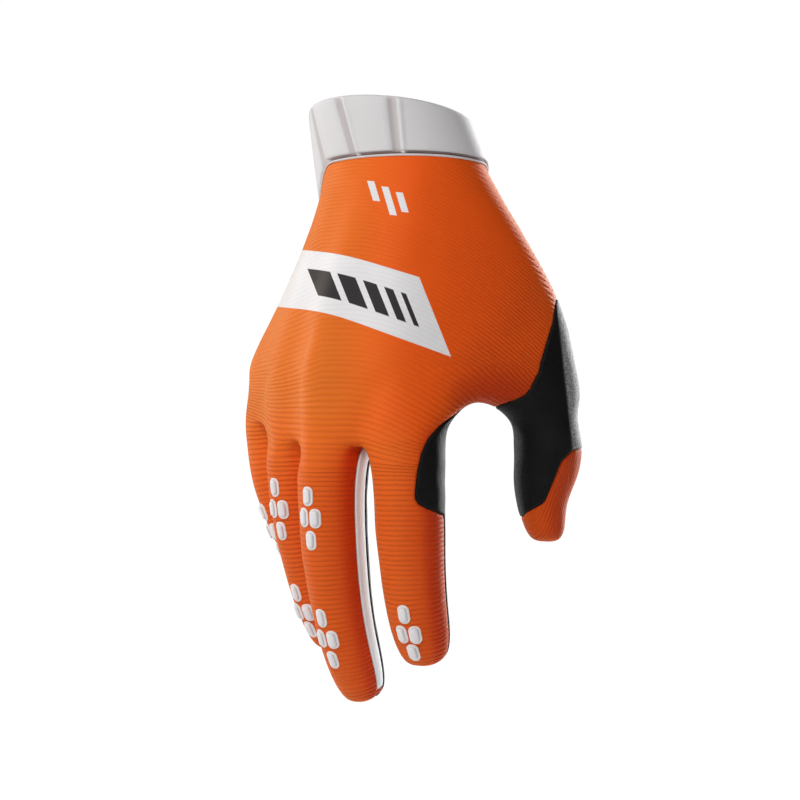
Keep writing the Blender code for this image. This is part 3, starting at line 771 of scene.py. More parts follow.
def crease_height(reach, height):
    """The height that the creases add at a place, as the camera sees it."""
    total = 0.0
    for crease in CREASES:
        top = crease.line[0][0]
        foot = crease.line[-1][0]
        if not foot < height < top:
            continue
        fade = clamped_step((top - height) / CREASE_FADE) * clamped_step((height - foot) / CREASE_FADE)
        across = table_value(crease.line, height) - reach
        total -= fade * crease.depth * bell(across, crease.width)
        if across > -crease.width:
            slope = clamped_step((across + crease.width) / (2 * crease.width))
            total -= fade * crease.step * slope * bell(across, crease.lower)
    return total


def relief(vert, near, panel, normal):
    """How far a point of a panel's outer surface stands above the plain skin."""
    leather = panel in (PALM, WRAP)
    rest = max(0.0, 1 - vert[near] / EDGE_ROUND)
    height = -EDGE_DROP * (1 - math.sqrt(1 - rest * rest))
    if leather:
        height += LEATHER_LIFT
    size, width = LEATHER_WAVE if leather else FABRIC_WAVE
    height += size * noise.noise(vert.co / width) * clamped_step(vert[near] / WAVE_FADE)
    if panel == BACK and normal.y < CREASE_FACING:
        height += crease_height(*seen(vert.co))
    return height


def turned_sideways(normal):
    """How far a surface turns to the thumb side, as the camera sees it: 1 when it faces straight that way."""
    turn = math.radians(CAMERA_TURN)
    return normal.x * math.cos(turn) + normal.y * math.sin(turn)


def panel_piece(skin, faces, panel, wall):
    """A panel with its outer surface in relief, as a closed body with its values for the materials."""
    layers = skin.verts.layers
    outward = layers.float_vector["outward"]
    near = layers.float["near"]
    body = bmesh.new()
    kept = [(layers.float[name], body.verts.layers.float.new(name)) for name in ("run", "near")]
    sideways = body.verts.layers.float.new("sideways")
    faces = set(faces)
    verts = sorted({vert for face in faces for vert in face.verts}, key=lambda v: v.index)
    outer = {}
    inner = {}
    for vert in verts:
        way, flare = inward(vert, faces)
        normal = vert[outward].normalized()
        up = relief(vert, near, panel, normal)
        outer[vert] = body.verts.new(vert.co + way * SEAM_OPENING / 2 + normal * up)
        inner[vert] = body.verts.new(vert.co + way * (PANEL_GAP / 2 + min(flare, SEAM_FLARE)) - normal * wall)
        outer[vert][sideways] = turned_sideways(normal)
        for old, new in kept:
            outer[vert][new] = vert[old]
            inner[vert][new] = vert[old]
    for face in sorted(faces, key=lambda f: f.index):
        body.faces.new([outer[v] for v in face.verts])
        body.faces.new([inner[v] for v in reversed(face.verts)])
        for loop in face.loops:
            if len([f for f in loop.edge.link_faces if f in faces]) == 1:
                one = loop.vert
                two = loop.link_loop_next.vert
                body.faces.new((outer[two], outer[one], inner[one], inner[two]))
    body.normal_update()
    return body


def add_piece(name, body, look, replaced, sharp=60):
    """A finished piece from a mesh: it rides on the glove's one body and stands for its solids."""
    mesh = bpy.data.meshes.new(name)
    body.to_mesh(mesh)
    body.free()
    thing = new_object(name, mesh)
    mesh.materials.append(look)
    mesh.shade_smooth()
    mesh.set_sharp_from_angle(angle=math.radians(sharp))
    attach(thing, ROOT)
    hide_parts(*replaced)


class Value:
    """A varying number or colour of a material, so that shader maths reads as plain expressions."""

    def __init__(self, look, socket):
        self.look = look
        self.socket = socket

    def math(self, operation, *values):
        inputs = dict(enumerate((self, *values)))
        return self.look.node("ShaderNodeMath", {"operation": operation}, inputs)

    def __add__(self, other):
        return self.math("ADD", other)

    __radd__ = __add__

    def __sub__(self, other):
        return self.math("SUBTRACT", other)

    def __rsub__(self, other):
        return self.look.node("ShaderNodeMath", {"operation": "SUBTRACT"}, {0: other, 1: self})

    def __mul__(self, other):
        return self.math("MULTIPLY", other)

    __rmul__ = __mul__

    def __truediv__(self, other):
        return self.math("DIVIDE", other)

    def __rtruediv__(self, other):
        return self.look.node("ShaderNodeMath", {"operation": "DIVIDE"}, {0: other, 1: self})

    def __pow__(self, other):
        return self.math("POWER", other)

    def clamped(self):
        return self.look.node("ShaderNodeClamp", {}, {0: self})

    def step(self, start, end):
        """A soft step from 0 at start to 1 at end, which may be the lower of the two."""
        if start > end:
            return (start - self).step(0, start - end)
        values = {"Value": self, "From Min": start, "From Max": end}
        return self.look.node("ShaderNodeMapRange", {"interpolation_type": "SMOOTHSTEP"}, values)

    def lower(self, other):
        return self.math("MINIMUM", other)

    def higher(self, other):
        return self.math("MAXIMUM", other)


class Look:
    """A material under construction."""

    def __init__(self, name):
        self.material = bpy.data.materials.new(name)
        self.material.use_nodes = True
        self.tree = self.material.node_tree
        self.shader = self.tree.nodes["Principled BSDF"]

    def node(self, kind, settings, inputs, output=0):
        """Adds any node, with its settings set first, and gives one of its outputs."""
        node = self.tree.nodes.new(kind)
        for key, value in settings.items():
            setattr(node, key, value)
        for key, value in inputs.items():
            if isinstance(value, Value):
                self.tree.links.new(value.socket, node.inputs[key])
            else:
                node.inputs[key].default_value = value
        return Value(self, node.outputs[output])

    def place(self):
        return self.node("ShaderNodeTexCoord", {}, {}, "Object")

    def parts(self, vector):
        node = self.tree.nodes.new("ShaderNodeSeparateXYZ")
        self.tree.links.new(vector.socket, node.inputs[0])
        return [Value(self, output) for output in node.outputs]

    def attribute(self, name):
        return self.node("ShaderNodeAttribute", {"attribute_name": name}, {}, "Fac")

    def noise(self, size, detail, roughness=0.5):
        inputs = {"Vector": self.place(), "Scale": 1 / size, "Detail": detail, "Roughness": roughness}
        return self.node("ShaderNodeTexNoise", {}, inputs, "Fac")

    def mix(self, share, one, two):
        node = self.tree.nodes.new("ShaderNodeMix")
        node.data_type = "RGBA"
        for key, value in (("Factor", share), ("A", one), ("B", two)):
            socket = [s for s in node.inputs if s.name == key and s.enabled][0]
            if isinstance(value, Value):
                self.tree.links.new(value.socket, socket)
            else:
                socket.default_value = value if key == "Factor" else (*value, 1.0)
        return Value(self, [s for s in node.outputs if s.enabled][0])

    def set(self, **values):
        """Sets the shader's sockets by name, with _ for a space."""
        for key, value in values.items():
            socket = self.shader.inputs[key.replace("_", " ")]
            if isinstance(value, Value):
                self.tree.links.new(value.socket, socket)
            else:
                socket.default_value = value

    def bump(self, height, distance):
        inputs = {"Height": height, "Distance": distance, "Strength": 1.0}
        self.set(Normal=self.node("ShaderNodeBump", {}, inputs, "Normal"))


# Colours of the fabric and its prints, the leather, the stretch mesh, the cuff and the rubber
ORANGE = (0.86, 0.100, 0.004)
# The orange's painted highlight, then its painted shades, the last for rib grooves, seams and the thumb's web
ORANGE_HIGHLIGHT = (0.74, 0.165, 0.014)
ORANGE_SHADE = (0.53, 0.046, 0.001)
ORANGE_RED_SHADE = (0.60, 0.026, 0.001)
ORANGE_DEEP_SHADE = (0.45, 0.030, 0.001)
SHEEN_TINT = (1.0, 0.60, 0.15, 1.0)
PRINT_WHITE = (0.80, 0.79, 0.80)
PRINT_WHITE_SHADE = (0.50, 0.48, 0.50)
PRINT_BLACK = (0.030, 0.027, 0.030)
LEATHER = (0.0025, 0.0023, 0.0025)
LEATHER_WORN = (0.010, 0.010, 0.0105)
# Painted highlight for the leather where lights catch the thumb, and its darker speckle
LEATHER_HIGHLIGHT = (0.37, 0.37, 0.375)
LEATHER_HIGHLIGHT_DARK = (0.11, 0.11, 0.11)
STRETCH_WHITE = (0.90, 0.97, 0.99)
STRETCH_SHADE = (0.80, 0.89, 0.91)
CUFF_WHITE = (0.66, 0.645, 0.655)
CUFF_DULL = (0.62, 0.605, 0.615)
CUFF_SHADE = (0.30, 0.235, 0.225)
RUBBER_WHITE = (0.74, 0.73, 0.745)
RUBBER_FLANGE = (0.80, 0.77, 0.765)
# Painted shade on the pads' step wall
RUBBER_WALL_SHADE = (0.35, 0.33, 0.35)

# In the ranges below a step goes from 0 at the first number to 1 at the second.

# The ribs' pitches on the hand, knuckles, fingers and thumb's tip, and the ranges along the run where the
# first gives way to the second and the second to the third
RIB_PITCH = 0.00118
KNUCKLE_RIB_PITCH = 0.00185
FINGER_RIB_PITCH = 0.00165
TIP_RIB_PITCH = 0.00137
KNUCKLE_RANGE = (-0.100, -0.035)
FINGER_RANGE = (0.004, 0.030)

# How the ribs bend: they fan out towards the thumb side, droop towards the little finger, and sway a little.
# The tip's ribs rise by these shares of the reach, the height and the distance away.
RIB_FAN = 10.0
RIB_FAN_START = -0.004
RIB_FAN_RANGE = (0.014, -0.002)
RIB_DROOP = 0.42
RIB_DROOP_START = -0.026
RIB_DROOP_RANGE = (-0.108, -0.086)
RIB_SWAY = 0.0006
TIP_SLANT = (0.956, -0.295, 0.80)

# How strong the ribs are: everywhere, more in patches, and most on the fingers and past a slanted line
RIB_BASE = 0.10
RIB_PATCHES = 0.18
RIB_MORE = 0.42
PATCH_RANGE = (0.30, 0.62)
ON_FINGERS = (-0.030, 0.010)
PAST_LINE_POINT = (0.0176, -0.0915)
PAST_LINE_WAY = (0.8, -0.6)
PAST_LINE_RANGE = (-0.006, 0.010)
RIB_SHARPNESS = 1.6
RIB_DEPTH = 0.00035
RIB_RISE = 1.4
RIB_RISE_IN_PRINT = 0.15
THREAD_RISE = 0.25
# Painted shade: how dark the rib grooves are coloured, and the share of colour left at a seam over this width
RIB_SHADE = 0.38
SEAM_SHADE = 0.45
SEAM_SHADE_WIDTH = 0.0010

# The white band. Each border follows two lines with a round bend between them, and its end is slanted.
BorderLine = namedtuple("BorderLine", "height reach slope")
BAND_TOP = (BorderLine(-0.0468, -0.0334, 0.056), BorderLine(-0.0475, -0.0205, 0.307))
BAND_FOOT = (BorderLine(-0.0672, -0.0409, 0.087), BorderLine(-0.0686, -0.0248, 0.364))
BAND_BEND = 0.0045
BAND_SLANT = 0.40
BAND_SLANT_HEIGHT = -0.0565
BAND_END = 0.0088

# The dark bars on the band: where the first starts, their widths, and their ends as shares of its height
BAR_START = -0.0300
BAR_WIDTHS = (0.0078, 0.0060, 0.0044, 0.0030, 0.0018)
BAR_GAP = 0.0022
BAR_ENDS = (0.26, 0.70)
BAR_END_SOFTNESS = 0.015

# The small white mark: three leaning strokes of one width
Stroke = namedtuple("Stroke", "start top foot")
STROKES = (
    Stroke(-0.0165, -0.0230, -0.0300),
    Stroke(-0.0120, -0.0245, -0.0345),
    Stroke(-0.0075, -0.0260, -0.0330),
)
STROKE_WIDTH = 0.0026
STROKE_LEAN = 0.30
STROKE_END_SLOPE = 0.1

# Bars and mark are printed only on the side towards the camera, up to this distance away
PRINT_AWAY = -0.0045
PRINT_SOFTNESS = 0.00012

# Painted highlights and painted shade on the fabric, by how the lights fall: ranges of reach, height and
# sideways turn, and the colours' shares
FABRIC_HIGHLIGHT_REACH = (0.014, -0.032)
FABRIC_HIGHLIGHT_HEIGHT = (-0.132, -0.098)
BELOW_KNUCKLES = (-0.104, -0.120)
TOWARDS_LIGHT = (0.35, -0.45)
FROM_LIGHT = (0.12, 0.58)
LOWER_FINGERS = (-0.105, -0.150)
RIGHT_SHADE_REACH = (0.006, 0.040)
INDEX_SHADE_REACH = (0.010, 0.028)
INDEX_SHADE_HEIGHT = (-0.078, -0.098)
WEB_SHADOW_MIDDLE = (0.0377, -0.1000)
WEB_SHADOW_SIZE = (0.020, 0.013)
LIGHT_SHARE = 0.45
TURNED_AWAY_SHADE_SHARE = 0.9
LOWER_SHADE_SHARE = 0.38
RIGHT_SHADE_SHARE = 0.42
INDEX_SHADE_SHARE = 0.28
WEB_SHADOW_SHARE = 0.9

# The leather's grain, and the thumb's painted grey highlight: right of a slanted line, and on its inner side
GRAIN_SIZE = 0.0011
THUMB_HIGHLIGHT_LINE = BorderLine(-0.0772, 0.0591, 0.109)
THUMB_HIGHLIGHT_RANGE = (-0.0004, 0.0008)
THUMB_HIGHLIGHT_TURN = (-0.72, -1.0)
THUMB_HIGHLIGHT_REACH = (0.034, 0.038)
THUMB_HIGHLIGHT_INSIDE = 0.3
SPECKLE_RANGE = (0.35, 0.65)
RUB_RANGE = (0.45, 0.75)
RUB_SHARE = 0.35
SEAM_RUB_SHARE = 0.3

STRETCH_ROW = 0.0008


def seen_values(look):
    """Reach, height and distance away as the camera sees them, for what is drawn on the front."""
    turn = math.radians(CAMERA_TURN)
    x, y, z = look.parts(look.place())
    away = y * math.cos(turn) - x * math.sin(turn)
    reach = x * math.cos(turn) + y * math.sin(turn)
    side = CAMERA_PLACE.x * math.cos(turn) + CAMERA_PLACE.y * math.sin(turn)
    distance = CAMERA_PLACE.x * math.sin(turn) - CAMERA_PLACE.y * math.cos(turn)
    share = distance / (away + distance)
    return (reach - side) * share + side, (z - CAMERA_PLACE.z) * share + CAMERA_PLACE.z, away


def ramp_sum(value, start, end):
    """What a ramp that rises from 0 to 1 between two places has added up to."""
    inside = (value - start).higher(0.0).lower(end - start)
    return inside * inside / (2 * (end - start)) + (value - end).higher(0.0)


def rib_turns(along):
    """How many ribs lie before a place: the fabric is stretched wider over the knuckles."""
    turns = along / RIB_PITCH
    turns = turns - ramp_sum(along, *KNUCKLE_RANGE) * (1 / RIB_PITCH - 1 / KNUCKLE_RIB_PITCH)
    return turns + ramp_sum(along, *FINGER_RANGE) * (1 / FINGER_RIB_PITCH - 1 / KNUCKLE_RIB_PITCH)


def rib_wave(look, run, reach, tall, away, slanted):
    """The ribs' profile: 1 on top of a rib and 0 in the groove between two."""
    sway = look.noise(0.014, 1.0) * RIB_SWAY
    if slanted:
        turns = (reach * TIP_SLANT[0] + tall * TIP_SLANT[1] + away * TIP_SLANT[2] + sway) / TIP_RIB_PITCH
    else:
        beside = (look.parts(look.place())[0] - RIB_FAN_START).higher(0.0)
        fan = beside * beside * RIB_FAN * run.step(*RIB_FAN_RANGE)
        droop = (RIB_DROOP_START - reach).higher(0.0) * RIB_DROOP * tall.step(*RIB_DROOP_RANGE)
        turns = rib_turns(run - fan - droop + sway)
    wave = (turns * (2 * math.pi)).math("SINE") * 0.5 + 0.5
    return 1 - (1 - wave) ** RIB_SHARPNESS


def rib_strength(look, run, reach, tall):
    """How strong the ribs are at a place."""
    patches = look.noise(0.030, 1.0).step(*PATCH_RANGE)
    past = (reach - PAST_LINE_POINT[0]) * PAST_LINE_WAY[0] + (tall - PAST_LINE_POINT[1]) * PAST_LINE_WAY[1]
    strong = run.step(*ON_FINGERS).higher(past.step(*PAST_LINE_RANGE))
    return RIB_BASE + RIB_PATCHES * patches + RIB_MORE * strong


def band_border(reach, lines):
    """The height of one of the band's borders."""
    left, right = [line.height - (reach - line.reach) * line.slope for line in lines]
    return left.math("SMOOTH_MIN", right, BAND_BEND)


def edge_of_print(value):
    return value.step(-PRINT_SOFTNESS, PRINT_SOFTNESS)


def between(value, start, end, softness=PRINT_SOFTNESS):
    """1 between two values and 0 outside them, with soft edges."""
    return (value - start).step(0, softness) * (end - value).step(0, softness)


def prints(reach, tall, away):
    """Where the fabric is printed white, by the band and the mark, and where the band's dark bars lie."""
    front = (PRINT_AWAY - away).step(0, PRINT_SOFTNESS)
    top = band_border(reach, BAND_TOP)
    foot = band_border(reach, BAND_FOOT)
    slant = reach + (tall - BAND_SLANT_HEIGHT) * BAND_SLANT
    band = edge_of_print(top - tall) * edge_of_print(tall - foot) * edge_of_print(BAND_END - slant)
    starts = [BAR_START + sum(BAR_WIDTHS[:k]) + k * BAR_GAP for k in range(len(BAR_WIDTHS))]
    bars = sum(between(slant, start, start + width) for start, width in zip(starts, BAR_WIDTHS))
    bars = bars * between((tall - foot) / (top - foot), *BAR_ENDS, BAR_END_SOFTNESS) * front
    lean = reach + tall * STROKE_LEAN
    climb = tall + reach * STROKE_END_SLOPE
    mark = sum(
        between(lean, stroke.start, stroke.start + STROKE_WIDTH) * between(climb, stroke.foot, stroke.top)
        for stroke in STROKES
    )
    return band.higher(mark * front).clamped(), (bars * band).clamped()


def orange(look, shade, reach, tall):
    """The fabric's colour, with painted highlights where the light falls and painted shade where it does not.
    """
    sideways = look.attribute("sideways")
    # Painted highlight on the upper left of the hand, and painted shade from the rib grooves and seams
    fabric_highlight = reach.step(*FABRIC_HIGHLIGHT_REACH) * tall.step(*FABRIC_HIGHLIGHT_HEIGHT)
    colour = look.mix(shade, ORANGE_DEEP_SHADE, look.mix(fabric_highlight, ORANGE, ORANGE_HIGHLIGHT))
    # Below the knuckles: painted highlight on sides turned to the key light, painted shade on sides turned
    # away
    below_knuckles = tall.step(*BELOW_KNUCKLES)
    colour = look.mix(below_knuckles * sideways.step(*TOWARDS_LIGHT) * LIGHT_SHARE, colour, ORANGE_HIGHLIGHT)
    colour = look.mix(below_knuckles * sideways.step(*FROM_LIGHT) * TURNED_AWAY_SHADE_SHARE, colour, ORANGE_RED_SHADE)
    # Painted shade on the lower fingers, towards the thumb side and on the index finger's flank
    index_shade = reach.step(*INDEX_SHADE_REACH) * tall.step(*INDEX_SHADE_HEIGHT)
    right = reach.step(*RIGHT_SHADE_REACH) * RIGHT_SHADE_SHARE + index_shade * INDEX_SHADE_SHARE
    colour = look.mix((tall.step(*LOWER_FINGERS) * LOWER_SHADE_SHARE).higher(right), colour, ORANGE_SHADE)
    # Painted shadow in the web between thumb and index
    across = (reach - WEB_SHADOW_MIDDLE[0]) / WEB_SHADOW_SIZE[0]
    above = (tall - WEB_SHADOW_MIDDLE[1]) / WEB_SHADOW_SIZE[1]
    web_shadow = (1 - across * across - above * above).clamped()
    return look.mix(web_shadow * WEB_SHADOW_SHARE, colour, ORANGE_DEEP_SHADE)


def rib_knit(name, slanted=False):
    """Ribbed stretch fabric in orange, with its prints. On the thumb's tip the ribs are slanted."""
    look = Look(name)
    run = look.attribute("run")
    near = look.attribute("near")
    reach, tall, away = seen_values(look)
    rib = rib_wave(look, run, reach, tall, away, slanted)
    strength = rib_strength(look, run, reach, tall)
    threads = look.noise(0.00035, 2.0, 0.7)
    tone = look.noise(0.012, 2.0)
    printed, dark = prints(reach, tall, away)

    # Painted shade in the rib grooves and along the seams, times a random tone
    shade = (1 - (1 - rib) * strength * RIB_SHADE) * (0.95 + 0.10 * tone)
    shade = shade * (near / SEAM_SHADE_WIDTH).clamped().higher(SEAM_SHADE)
    # The white print, with painted shade in its rib grooves and a random tone
    white = look.mix((rib * 0.12 + 0.88) * (0.85 + 0.25 * tone), PRINT_WHITE_SHADE, PRINT_WHITE)
    colour = look.mix(printed, orange(look, shade.clamped(), reach, tall), white)
    look.set(Base_Color=look.mix(dark, colour, PRINT_BLACK), Roughness=0.52 + 0.14 * threads)
    look.set(Specular_IOR_Level=0.15, Sheen_Weight=0.28, Sheen_Roughness=0.40, Sheen_Tint=SHEEN_TINT)
    rise = RIB_RISE - (RIB_RISE - RIB_RISE_IN_PRINT) * printed
    look.bump(rib * strength * rise + threads * THREAD_RISE, RIB_DEPTH)
    return look.material


def leather_look():
    """Black synthetic leather, finely grained and lighter where rubbed, with a painted highlight on the
    thumb.
    """
    look = Look("black_synthetic_leather")
    inputs = {"Vector": look.place(), "Scale": 1 / GRAIN_SIZE}
    grain = look.node("ShaderNodeTexVoronoi", {"feature": "DISTANCE_TO_EDGE"}, inputs)
    pores = look.noise(0.00045, 3.0, 0.6)
    rub = look.noise(0.009, 3.0)
    near = look.attribute("near")
    sideways = look.attribute("sideways")
    reach, tall, _ = seen_values(look)
    # Painted highlight in speckled grey where the lights catch the thumb's edges
    edge = THUMB_HIGHLIGHT_LINE.reach - (tall - THUMB_HIGHLIGHT_LINE.height) * THUMB_HIGHLIGHT_LINE.slope
    inner = sideways.step(*THUMB_HIGHLIGHT_TURN) * THUMB_HIGHLIGHT_INSIDE * reach.step(*THUMB_HIGHLIGHT_REACH)
    lit = (reach - edge).step(*THUMB_HIGHLIGHT_RANGE).higher(inner)
    speckle = look.noise(0.0007, 3.0, 0.8).step(*SPECKLE_RANGE)
    at_seam = (1 - near / SEAM_SHADE_WIDTH).clamped()
    worn = (rub.step(*RUB_RANGE) * RUB_SHARE + at_seam * SEAM_RUB_SHARE).clamped()
    black = look.mix(worn, LEATHER, LEATHER_WORN)
    thumb_highlight = look.mix(speckle, LEATHER_HIGHLIGHT_DARK, LEATHER_HIGHLIGHT)
    look.set(Base_Color=look.mix(lit, black, thumb_highlight), Roughness=0.50 + 0.20 * pores)
    look.set(Sheen_Weight=0.14, Sheen_Roughness=0.20, Specular_IOR_Level=0.16)
    look.bump(grain.lower(0.12) * 4 + pores * 0.5, 0.00012)
    return look.material


def stretch_look():
    """White four-way stretch mesh between the fingers."""
    look = Look("white_stretch_mesh")
    rows = (look.attribute("run") * (2 * math.pi / STRETCH_ROW)).math("SINE") * 0.5 + 0.5
    threads = look.noise(0.0004, 2.0, 0.6)
    tone = look.noise(0.006, 2.0)
    share = rows * 0.25 + threads * 0.3 + tone * 0.45
    look.set(Base_Color=look.mix(share, STRETCH_SHADE, STRETCH_WHITE), Roughness=0.65 + 0.15 * threads)
    look.set(Sheen_Weight=0.2)
    look.bump(rows * 0.6 + threads, 0.00007)
    return look.material


def cuff_look():
    """Moulded white cuff with a fine matt grain, shaded in its grooves and along its foot."""
    look = Look("white_moulded_cuff")
    hollow = look.attribute("hollow")
    grain = look.noise(0.0005, 3.0, 0.65)
    clean = look.mix(look.noise(0.010, 2.0), CUFF_DULL, CUFF_WHITE)
    look.set(Base_Color=look.mix(hollow, clean, CUFF_SHADE), Roughness=0.52 + 0.15 * grain)
    look.set(Sheen_Weight=0.1)
    look.bump(grain, 0.00010)
    return look.material


def rubber_look():
    """White moulded rubber, a little warmer on its flange, with painted shade on the wall between flange and
    top.
    """
    look = Look("white_rubber")
    raised = look.attribute("raised")
    grain = look.noise(0.0006, 2.0, 0.6)
    # Painted shade on the wall between flange and top
    wall = (1 - (raised - 0.5).math("ABSOLUTE") * 2).clamped()
    top = look.mix(raised.step(0.6, 1.0), RUBBER_FLANGE, RUBBER_WHITE)
    look.set(Base_Color=look.mix(wall * 0.85, top, RUBBER_WALL_SHADE), Roughness=0.36 + 0.14 * grain)
    look.bump(grain, 0.00005)
    return look.material


# The cuff's fine surface. Widths and offsets round it are in degrees, and the shades are values of hollow.
CUFF_COLUMNS = 480
GROOVE_WIDTH = 3.0
RIDGE_WIDTH = 2.0
RIDGE_OFFSET = 5.2
RIDGE_RISE = 0.00045
GROOVE_SHADE = 0.45
FOOT_SHADE = 0.95

# The rings of its wall: how far up from its foot, how far in as a share of the wall, and how much of the
# grooves' depth shows there
RIM_ROWS = (
    (-0.045, 1.00, 0), (-0.045, 0.55, 0), (-0.020, 0.45, 0), (-0.004, 0.42, 0), (0.000, 0.38, 0.3),
    (0.003, 0.24, 0.6), (0.009, 0.11, 0.9), (0.020, 0.03, 1), (0.045, 0.00, 1), (0.135, 0.00, 1),
    (0.200, 0.00, 1), (0.300, -0.02, 1), (0.400, -0.03, 1), (0.500, -0.03, 1), (0.600, -0.03, 1),
    (0.700, -0.02, 1), (0.800, -0.01, 1), (0.880, 0.00, 1), (0.930, 0.03, 0.8), (0.960, 0.10, 0.5),
    (0.980, 0.22, 0.2), (0.995, 0.45, 0), (0.998, 0.66, 0), (0.990, 0.86, 0), (0.960, 1.00, 0),
    (0.700, 1.00, 0), (0.300, 1.00, 0),
)


def cuff_relief(angle):
    """The grooves' depth at an angle round the cuff, and the rise of the ridges on their thumb sides."""
    depth = 0.0
    rise = 0.0
    for groove in GROOVES:
        offset = (angle - groove + 180) % 360 - 180
        depth += GROOVE_DEPTH * bell(offset, GROOVE_WIDTH) ** 0.6
        rise += RIDGE_RISE * bell(offset - RIDGE_OFFSET, RIDGE_WIDTH)
    return depth, rise


# The cord's thickness, how far it stands out of the seam, and how finely it is divided
CORD_RADIUS = 0.00034
CORD_PROUD = 0.00015
CORD_COLUMNS = 240
CORD_SIDES = 10


def fine_cuff(line):
    """The cuff's wall with its grooves and ridges."""
    foot_gap = 2 * (PIPING_RADIUS + PANEL_GAP)
    body = bmesh.new()
    hollow = body.verts.layers.float.new("hollow")
    rings = []
    for up, inset, carved in RIM_ROWS:
        ring = []
        for column in range(CUFF_COLUMNS):
            angle = 360 / CUFF_COLUMNS * column - 180
            foot, outward = above_seam(line, angle, foot_gap)
            depth, rise = cuff_relief(angle)
            place = foot.lerp(rim_point(angle), up) + outward * CUFF_PROUD
            ridge = min(1.0, rise / RIDGE_RISE)
            at_foot = up < 0.001 and inset < 0.6
            depth_in = inset * (1 - ridge * at_foot) * CUFF_WALL
            place += outward * ((rise - depth) * carved - depth_in)
            vert = body.verts.new(place)
            groove = clamped_step(depth / GROOVE_DEPTH * 3 - 1) * carved
            vert[hollow] = max(groove * GROOVE_SHADE, FOOT_SHADE * at_foot * (1 - ridge))
            ring.append(vert)
        rings.append(ring)
    join_rings(body, rings)
    return body


def fine_piping(line):
    """The thin cord along the seam under the cuff."""
    body = bmesh.new()
    rings = []
    for column in range(CORD_COLUMNS):
        angle = 360 / CORD_COLUMNS * column - 180
        middle, outward = above_seam(line, angle, CORD_RADIUS)
        middle += outward * CORD_PROUD
        upward = (above_seam(line, angle, 2 * CUFF_HEIGHT)[0] - middle).normalized()
        ring = []
        for side in range(CORD_SIDES):
            turn = math.radians(360 / CORD_SIDES * side)
            way = outward * math.cos(turn) + upward * math.sin(turn)
            ring.append(body.verts.new(middle + way * CORD_RADIUS))
        rings.append(ring)
    join_rings(body, rings)
    return body


# A rubber pad: its corners' radius, its flange's height, and the steps from there to its middle, each by how
# far in and how far up it goes
PAD_CORNER = 0.0020
PAD_FLANGE = 0.00045
PAD_STEPS = (
    (0.0002, 0.00008),
    (0.0005, 0),
    (0.00018, 0.00045),
    (0.00022, 0.00024),
    (0.00040, 0.00008),
    (0.00040, 0.00003),
)
PAD_MIDDLE_RISE = 0.0006
PAD_SINK = 0.00012


def pad_pattern():
    """One flat pad: a plate with round corners, a flange and a raised middle."""
    bpy.ops.object.select_all(action="DESELECT")
    bpy.ops.mesh.primitive_plane_add(size=1)
    thing = bpy.context.object
    bpy.ops.object.mode_set(mode="EDIT")
    bpy.ops.transform.resize(value=(PAD_WIDTH, PAD_LENGTH, 1))
    bpy.ops.mesh.bevel(offset=PAD_CORNER, segments=7, affect="VERTICES")
    bpy.ops.mesh.extrude_region_move(TRANSFORM_OT_translate={"value": (0, 0, PAD_FLANGE)})
    for thickness, depth in PAD_STEPS:
        bpy.ops.mesh.inset(thickness=thickness, depth=depth)
    bpy.ops.object.mode_set(mode="OBJECT")
    mesh = thing.data
    bpy.data.objects.remove(thing)
    return mesh


def drape(pattern, surface, group, spot):
    """A copy of the pad, bent over the finger that it lies on."""
    ray = RAYS[group.ray]
    middle, lean = ray_line(ray, group.along + spot.down * PAD_LENGTH / (ray.length * FINGER_LENGTH))
    turn = ray_turn(ray, lean)
    group_way = (turn @ oval_point(group.angle, 2, 2)).normalized()
    radius = (surface.ray_cast(middle, group_way)[0] - middle).length
    angle = group.angle + math.degrees(spot.across * PAD_WIDTH / radius)
    outward = (turn @ oval_point(angle, 2, 2)).normalized()
    down = turn @ Vector((0, 0, -1))
    across = down.cross(outward).normalized()
    body = bmesh.new()
    body.from_mesh(pattern)
    raised = body.verts.layers.float.new("raised")
    for vert in body.verts:
        u, v, up = vert.co
        place = middle + across * u + down * v
        hit = surface.ray_cast(place + outward * FINGER_WIDTH, -outward)[0]
        vert[raised] = clamped_step((up - PAD_FLANGE) / PAD_MIDDLE_RISE)
        vert.co = place + outward * ((hit - place).dot(outward) + up - PAD_SINK)
    bmesh.ops.recalc_face_normals(body, faces=body.faces)
    return body


# Degrees from which an edge of the cuff and of a pad is sharp
CUFF_SHARP = 80
PAD_SHARP = 50


